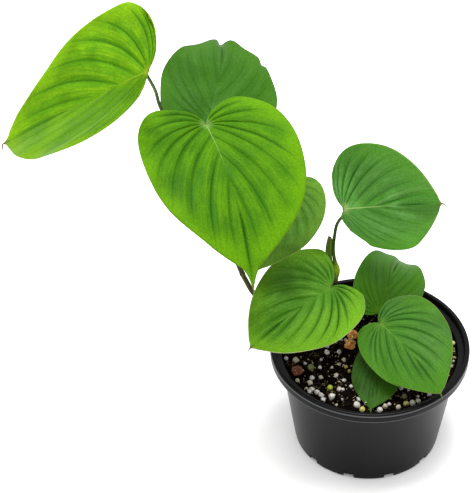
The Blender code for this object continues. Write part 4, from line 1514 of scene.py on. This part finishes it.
def seen_on_soil(u, v):
    """The place on the soil that the photograph shows at a pixel, and a pixel's width there."""
    ray = view_ray(u, v)
    height = SOIL_LEVEL
    for _ in range(4):
        spot = CAMERA_PLACE + ray * ((height - CAMERA_PLACE.z) / ray.z)
        height = soil_height(spot.x, spot.y)
    reach = math.hypot(spot.x, spot.y)
    if reach > SEEN_REACH * SOIL_RADIUS:
        spot *= SEEN_REACH * SOIL_RADIUS / reach
    place = on_soil(spot.x, spot.y)
    return place, (place - CAMERA_PLACE).length / FOCAL_PIXELS


def hidden_soil(place):
    """Whether a place lies off the crescent of soil in front of the low leaves, whose grains
    are the seen ones."""
    return place.y >= SEEN_SOIL_BACK or place.x >= SEEN_SOIL_RIGHT


def anywhere_on_soil(draw, clearance):
    """A drawn place on the soil, clear of its edge."""
    reach = (SOIL_RADIUS - clearance) * math.sqrt(draw.random())
    turn = draw.uniform(0, 2 * math.pi)
    return on_soil(reach * math.cos(turn), reach * math.sin(turn))


def scatter(name, grains, finish, subdivisions, unevenness):
    """Grains (place, radii, tone, coat) as one piece, each an uneven lump turned its own way."""
    ball = bmesh.new()
    bmesh.ops.create_icosphere(ball, subdivisions=subdivisions, radius=1.0)
    lump = mesh_from("lump", ball)
    draw = random.Random(name)
    shape = bmesh.new()
    tone_layer = shape.verts.layers.float.new("tone")
    coat_layer = shape.verts.layers.float_color.new("coat")
    for place, radii, tone, coating in grains:
        first = len(shape.verts)
        shape.from_mesh(lump)
        shape.verts.ensure_lookup_table()
        seed = Vector((draw.uniform(0, 90), 0, 0))
        turned = Matrix.Rotation(draw.uniform(0, 2 * math.pi), 4, "Z")
        turned = turned @ Matrix.Rotation(draw.uniform(-0.6, 0.6), 4, "X")
        for index in range(first, len(shape.verts)):
            vert = shape.verts[index]
            rough = 1 + unevenness * noise.noise(1.7 * vert.co + seed)
            stretched = Vector((vert.co[axis] * radii[axis] * rough for axis in range(3)))
            vert.co = place + turned @ stretched
            vert[tone_layer] = tone
            vert[coat_layer] = coating
    return add_piece(name, shape, [finish], "soil")


def perlite(finish):
    """White grains: the seen ones, and drawn ones on the rest of the soil."""
    draw = random.Random(5)
    grains = []

    def add(place, size):
        radii = [size / 2 * draw.uniform(0.85, 1.12) for _ in range(3)]
        grains.append((raised(place, 0.45 * radii[2]), radii, draw.random(), WHITE))

    for u, v, size in SEEN_PERLITE:
        place, pixel = seen_on_soil(u, v)
        add(place, size * pixel)
    for _ in range(LOOSE_PERLITE):
        place = anywhere_on_soil(draw, clearance=0.002)
        if hidden_soil(place):
            add(place, draw.uniform(*PERLITE_SIZES))
    return scatter("perlite", grains, finish, subdivisions=2, unevenness=0.42)


def prills(finish):
    """Feed beads: the seen ones, and a few drawn ones on the rest of the soil."""
    draw = random.Random(8)
    grains = []

    def add(place, radius, code):
        grains.append((raised(place, PRILL_RISE * radius), [radius] * 3, 0.0, linear(code)))

    for u, v, size, code in SEEN_PRILLS:
        place, pixel = seen_on_soil(u, v)
        add(place, size * pixel / 2, code)
    for _ in range(LOOSE_PRILLS):
        place = anywhere_on_soil(draw, clearance=0.004)
        if hidden_soil(place):
            add(place, draw.uniform(*PRILL_RADII), draw.choice(LOOSE_PRILL_COATS))
    return scatter("prills", grains, finish, subdivisions=3, unevenness=0.06)


def bits(finish):
    """Tan husks and splinters: the seen ones, and finer drawn ones all over."""
    draw = random.Random(21)
    grains = []
    for u, v, size in SEEN_BITS:
        place, pixel = seen_on_soil(u, v)
        length = size * pixel / 2
        radii = [length, 0.55 * length, 0.4 * length]
        grains.append((raised(place, BIT_RISE), radii, draw.random(), WHITE))
    for _ in range(LOOSE_BITS):
        place = anywhere_on_soil(draw, clearance=0.001)
        length = draw.uniform(*BIT_LENGTHS)
        radii = [length, draw.uniform(0.3, 0.7) * length, 0.35 * length]
        grains.append((raised(place, BIT_RISE), radii, draw.random(), WHITE))
    return scatter("bits", grains, finish, subdivisions=1, unevenness=0.5)


def crumbs(finish):
    """Loose clods of peat, small and smaller."""
    draw = random.Random(33)
    grains = []
    for _ in range(CRUMBS):
        place = anywhere_on_soil(draw, clearance=0.0008)
        size = CRUMB_SIZE + CRUMB_GROWTH * draw.random() ** 2
        radii = [size * draw.uniform(0.7, 1.3) for _ in range(3)]
        grains.append((raised(place, 0.25 * size), radii, draw.random(), WHITE))
    return scatter("crumbs", grains, finish, subdivisions=1, unevenness=0.8)


def fibres(finish):
    """Thin bent strands of peat moss that lie over the surface."""
    draw = random.Random(44)
    shape = bmesh.new()
    tone_layer = shape.verts.layers.float.new("tone")
    for _ in range(FIBRES):
        middle = anywhere_on_soil(draw, clearance=0.006)
        turn = draw.uniform(0, 2 * math.pi)
        length = draw.uniform(*FIBRE_LENGTHS)
        way = Vector((math.cos(turn), math.sin(turn), 0))
        side = draw.uniform(-0.25, 0.25) * length * Vector((-way.y, way.x, 0))
        route = []
        for step in range(FIBRE_STEPS + 1):
            share = step / FIBRE_STEPS - 0.5
            bow = 1 - 4 * share * share
            spot = middle + share * length * way + bow * side
            rise = FIBRE_RISE + FIBRE_ARCH * bow * draw.random()
            route.append(on_soil(spot.x, spot.y, rise))
        radius = draw.uniform(*FIBRE_RADII)
        rings = sweep(shape, route, [radius * share for share in FIBRE_PROFILE], 3)
        tone = draw.random()
        for ring in rings:
            for vert in ring:
                vert[tone_layer] = tone
    bmesh.ops.recalc_face_normals(shape, faces=shape.faces)
    return add_piece("fibres", shape, [finish], "soil")


def bark_chip(number, chip, finish):
    """A split bit of bark, layered across and ragged at its edge."""
    shape = bmesh.new()
    bmesh.ops.create_icosphere(shape, subdivisions=5, radius=chip.radius)
    placed = Matrix.Translation(chip.place)
    placed = placed @ Matrix.Rotation(math.radians(chip.turn), 4, "Z")
    placed = placed @ Matrix.Rotation(math.radians(CHIP_TILT), 4, "X")
    for vert in shape.verts:
        spot = 1.3 * vert.co / chip.radius + Vector((number, 0, 0))
        rough = CHIP_LUMP * noise.noise(spot) + CHIP_CREASE * abs(noise.noise(3 * spot))
        layer = CHIP_LAYER * noise.noise(Vector((2 * spot.x, CHIP_LAYERS * spot.z, number)))
        vert.co *= 1 + rough + layer
        vert.co.z *= CHIP_FLATNESS
        vert.co = placed @ vert.co
    node = f"bark_chip_{number}"
    return add_piece(node + "_fine", shape, [finish], chip.finish, [node])


# Stage


def stage():
    """A pale floor that stays out of the part."""
    shape = bmesh.new()
    bmesh.ops.create_grid(shape, x_segments=1, y_segments=1, size=FLOOR_SIZE)
    floor = link("floor", mesh_from("floor", shape))
    made, tree, shader = new_material("floor", Specular_IOR_Level=0.0, Roughness=1.0)
    shade = cloud(tree, places(tree), 2.0)
    feed(tree, shader, {"Base Color": blend(tree, shade, FLOOR_DARK, FLOOR_LIGHT)})
    floor.data.materials.append(made)


def lights():
    """Soft white light from all round and one lamp above."""
    world = bpy.data.worlds.new("studio")
    world.use_nodes = True
    background = world.node_tree.nodes["Background"]
    background.inputs["Color"].default_value = WHITE
    background.inputs["Strength"].default_value = WORLD_STRENGTH
    bpy.context.scene.world = world
    lamp = bpy.data.lights.new("key", "AREA")
    lamp.shape = "RECTANGLE"
    lamp.size = KEY_SIZE
    lamp.size_y = KEY_SIZE
    lamp.energy = KEY_POWER
    key = link("key", lamp)
    key.location = KEY_PLACE
    way = Vector(KEY_TARGET) - Vector(KEY_PLACE)
    key.rotation_euler = way.to_track_quat("-Z", "Y").to_euler()
    view = bpy.context.scene.view_settings
    view.view_transform = "Standard"
    view.look = "None"


def camera():
    """A camera where the photograph was taken from."""
    data = bpy.data.cameras.new("camera")
    data.sensor_width = SENSOR_HEIGHT
    data.lens = FOCAL_PIXELS * SENSOR_HEIGHT / PHOTO_HEIGHT
    made = link("camera", data)
    made.location = CAMERA_PLACE
    made.rotation_euler = (math.radians(90 - CAMERA_DOWN), 0, 0)
    bpy.context.scene.camera = made


camera()
lights()
stage()
pot(pot_material())
soil(soil_material("soil_bed", "#040302", "#100a06", 0.95))
crumbs(soil_material("crumbs", "#050403", "#1a120b", 0.9))
fibres(grain_material("fibres", "#170f08", "#33241a", 0.8, "#6a5538"))
perlite(grain_material("perlite", "#8e8a83", "#bdbab4", 0.75, "#968d72"))
prills(prill_material())
bits(grain_material("bits", "#6f5f42", "#b0a27f", 0.7, "#3c2b19"))
bark = {
    "bark_red": bark_material("bark_red", "#43200e", "#74452a", "#a8826a"),
    "bark_orange": bark_material("bark_orange", "#96541c", "#d4923f", "#f0dcb8"),
}
for number, chip in enumerate(CHIPS, 1):
    bark_chip(number, chip, bark[chip.finish])
stem_finish = stem_material()
for name in STEM_ROUTES:
    stem(name, stem_finish)
stalk_finish = stalk_material()
tip_finish = tip_material()
for leaf in LEAVES:
    stalk(leaf, stalk_finish)
    blade(leaf)
    if leaf.letter in TIP_THREADS:
        tip_thread(leaf, tip_finish)
sheath(sheath_material())
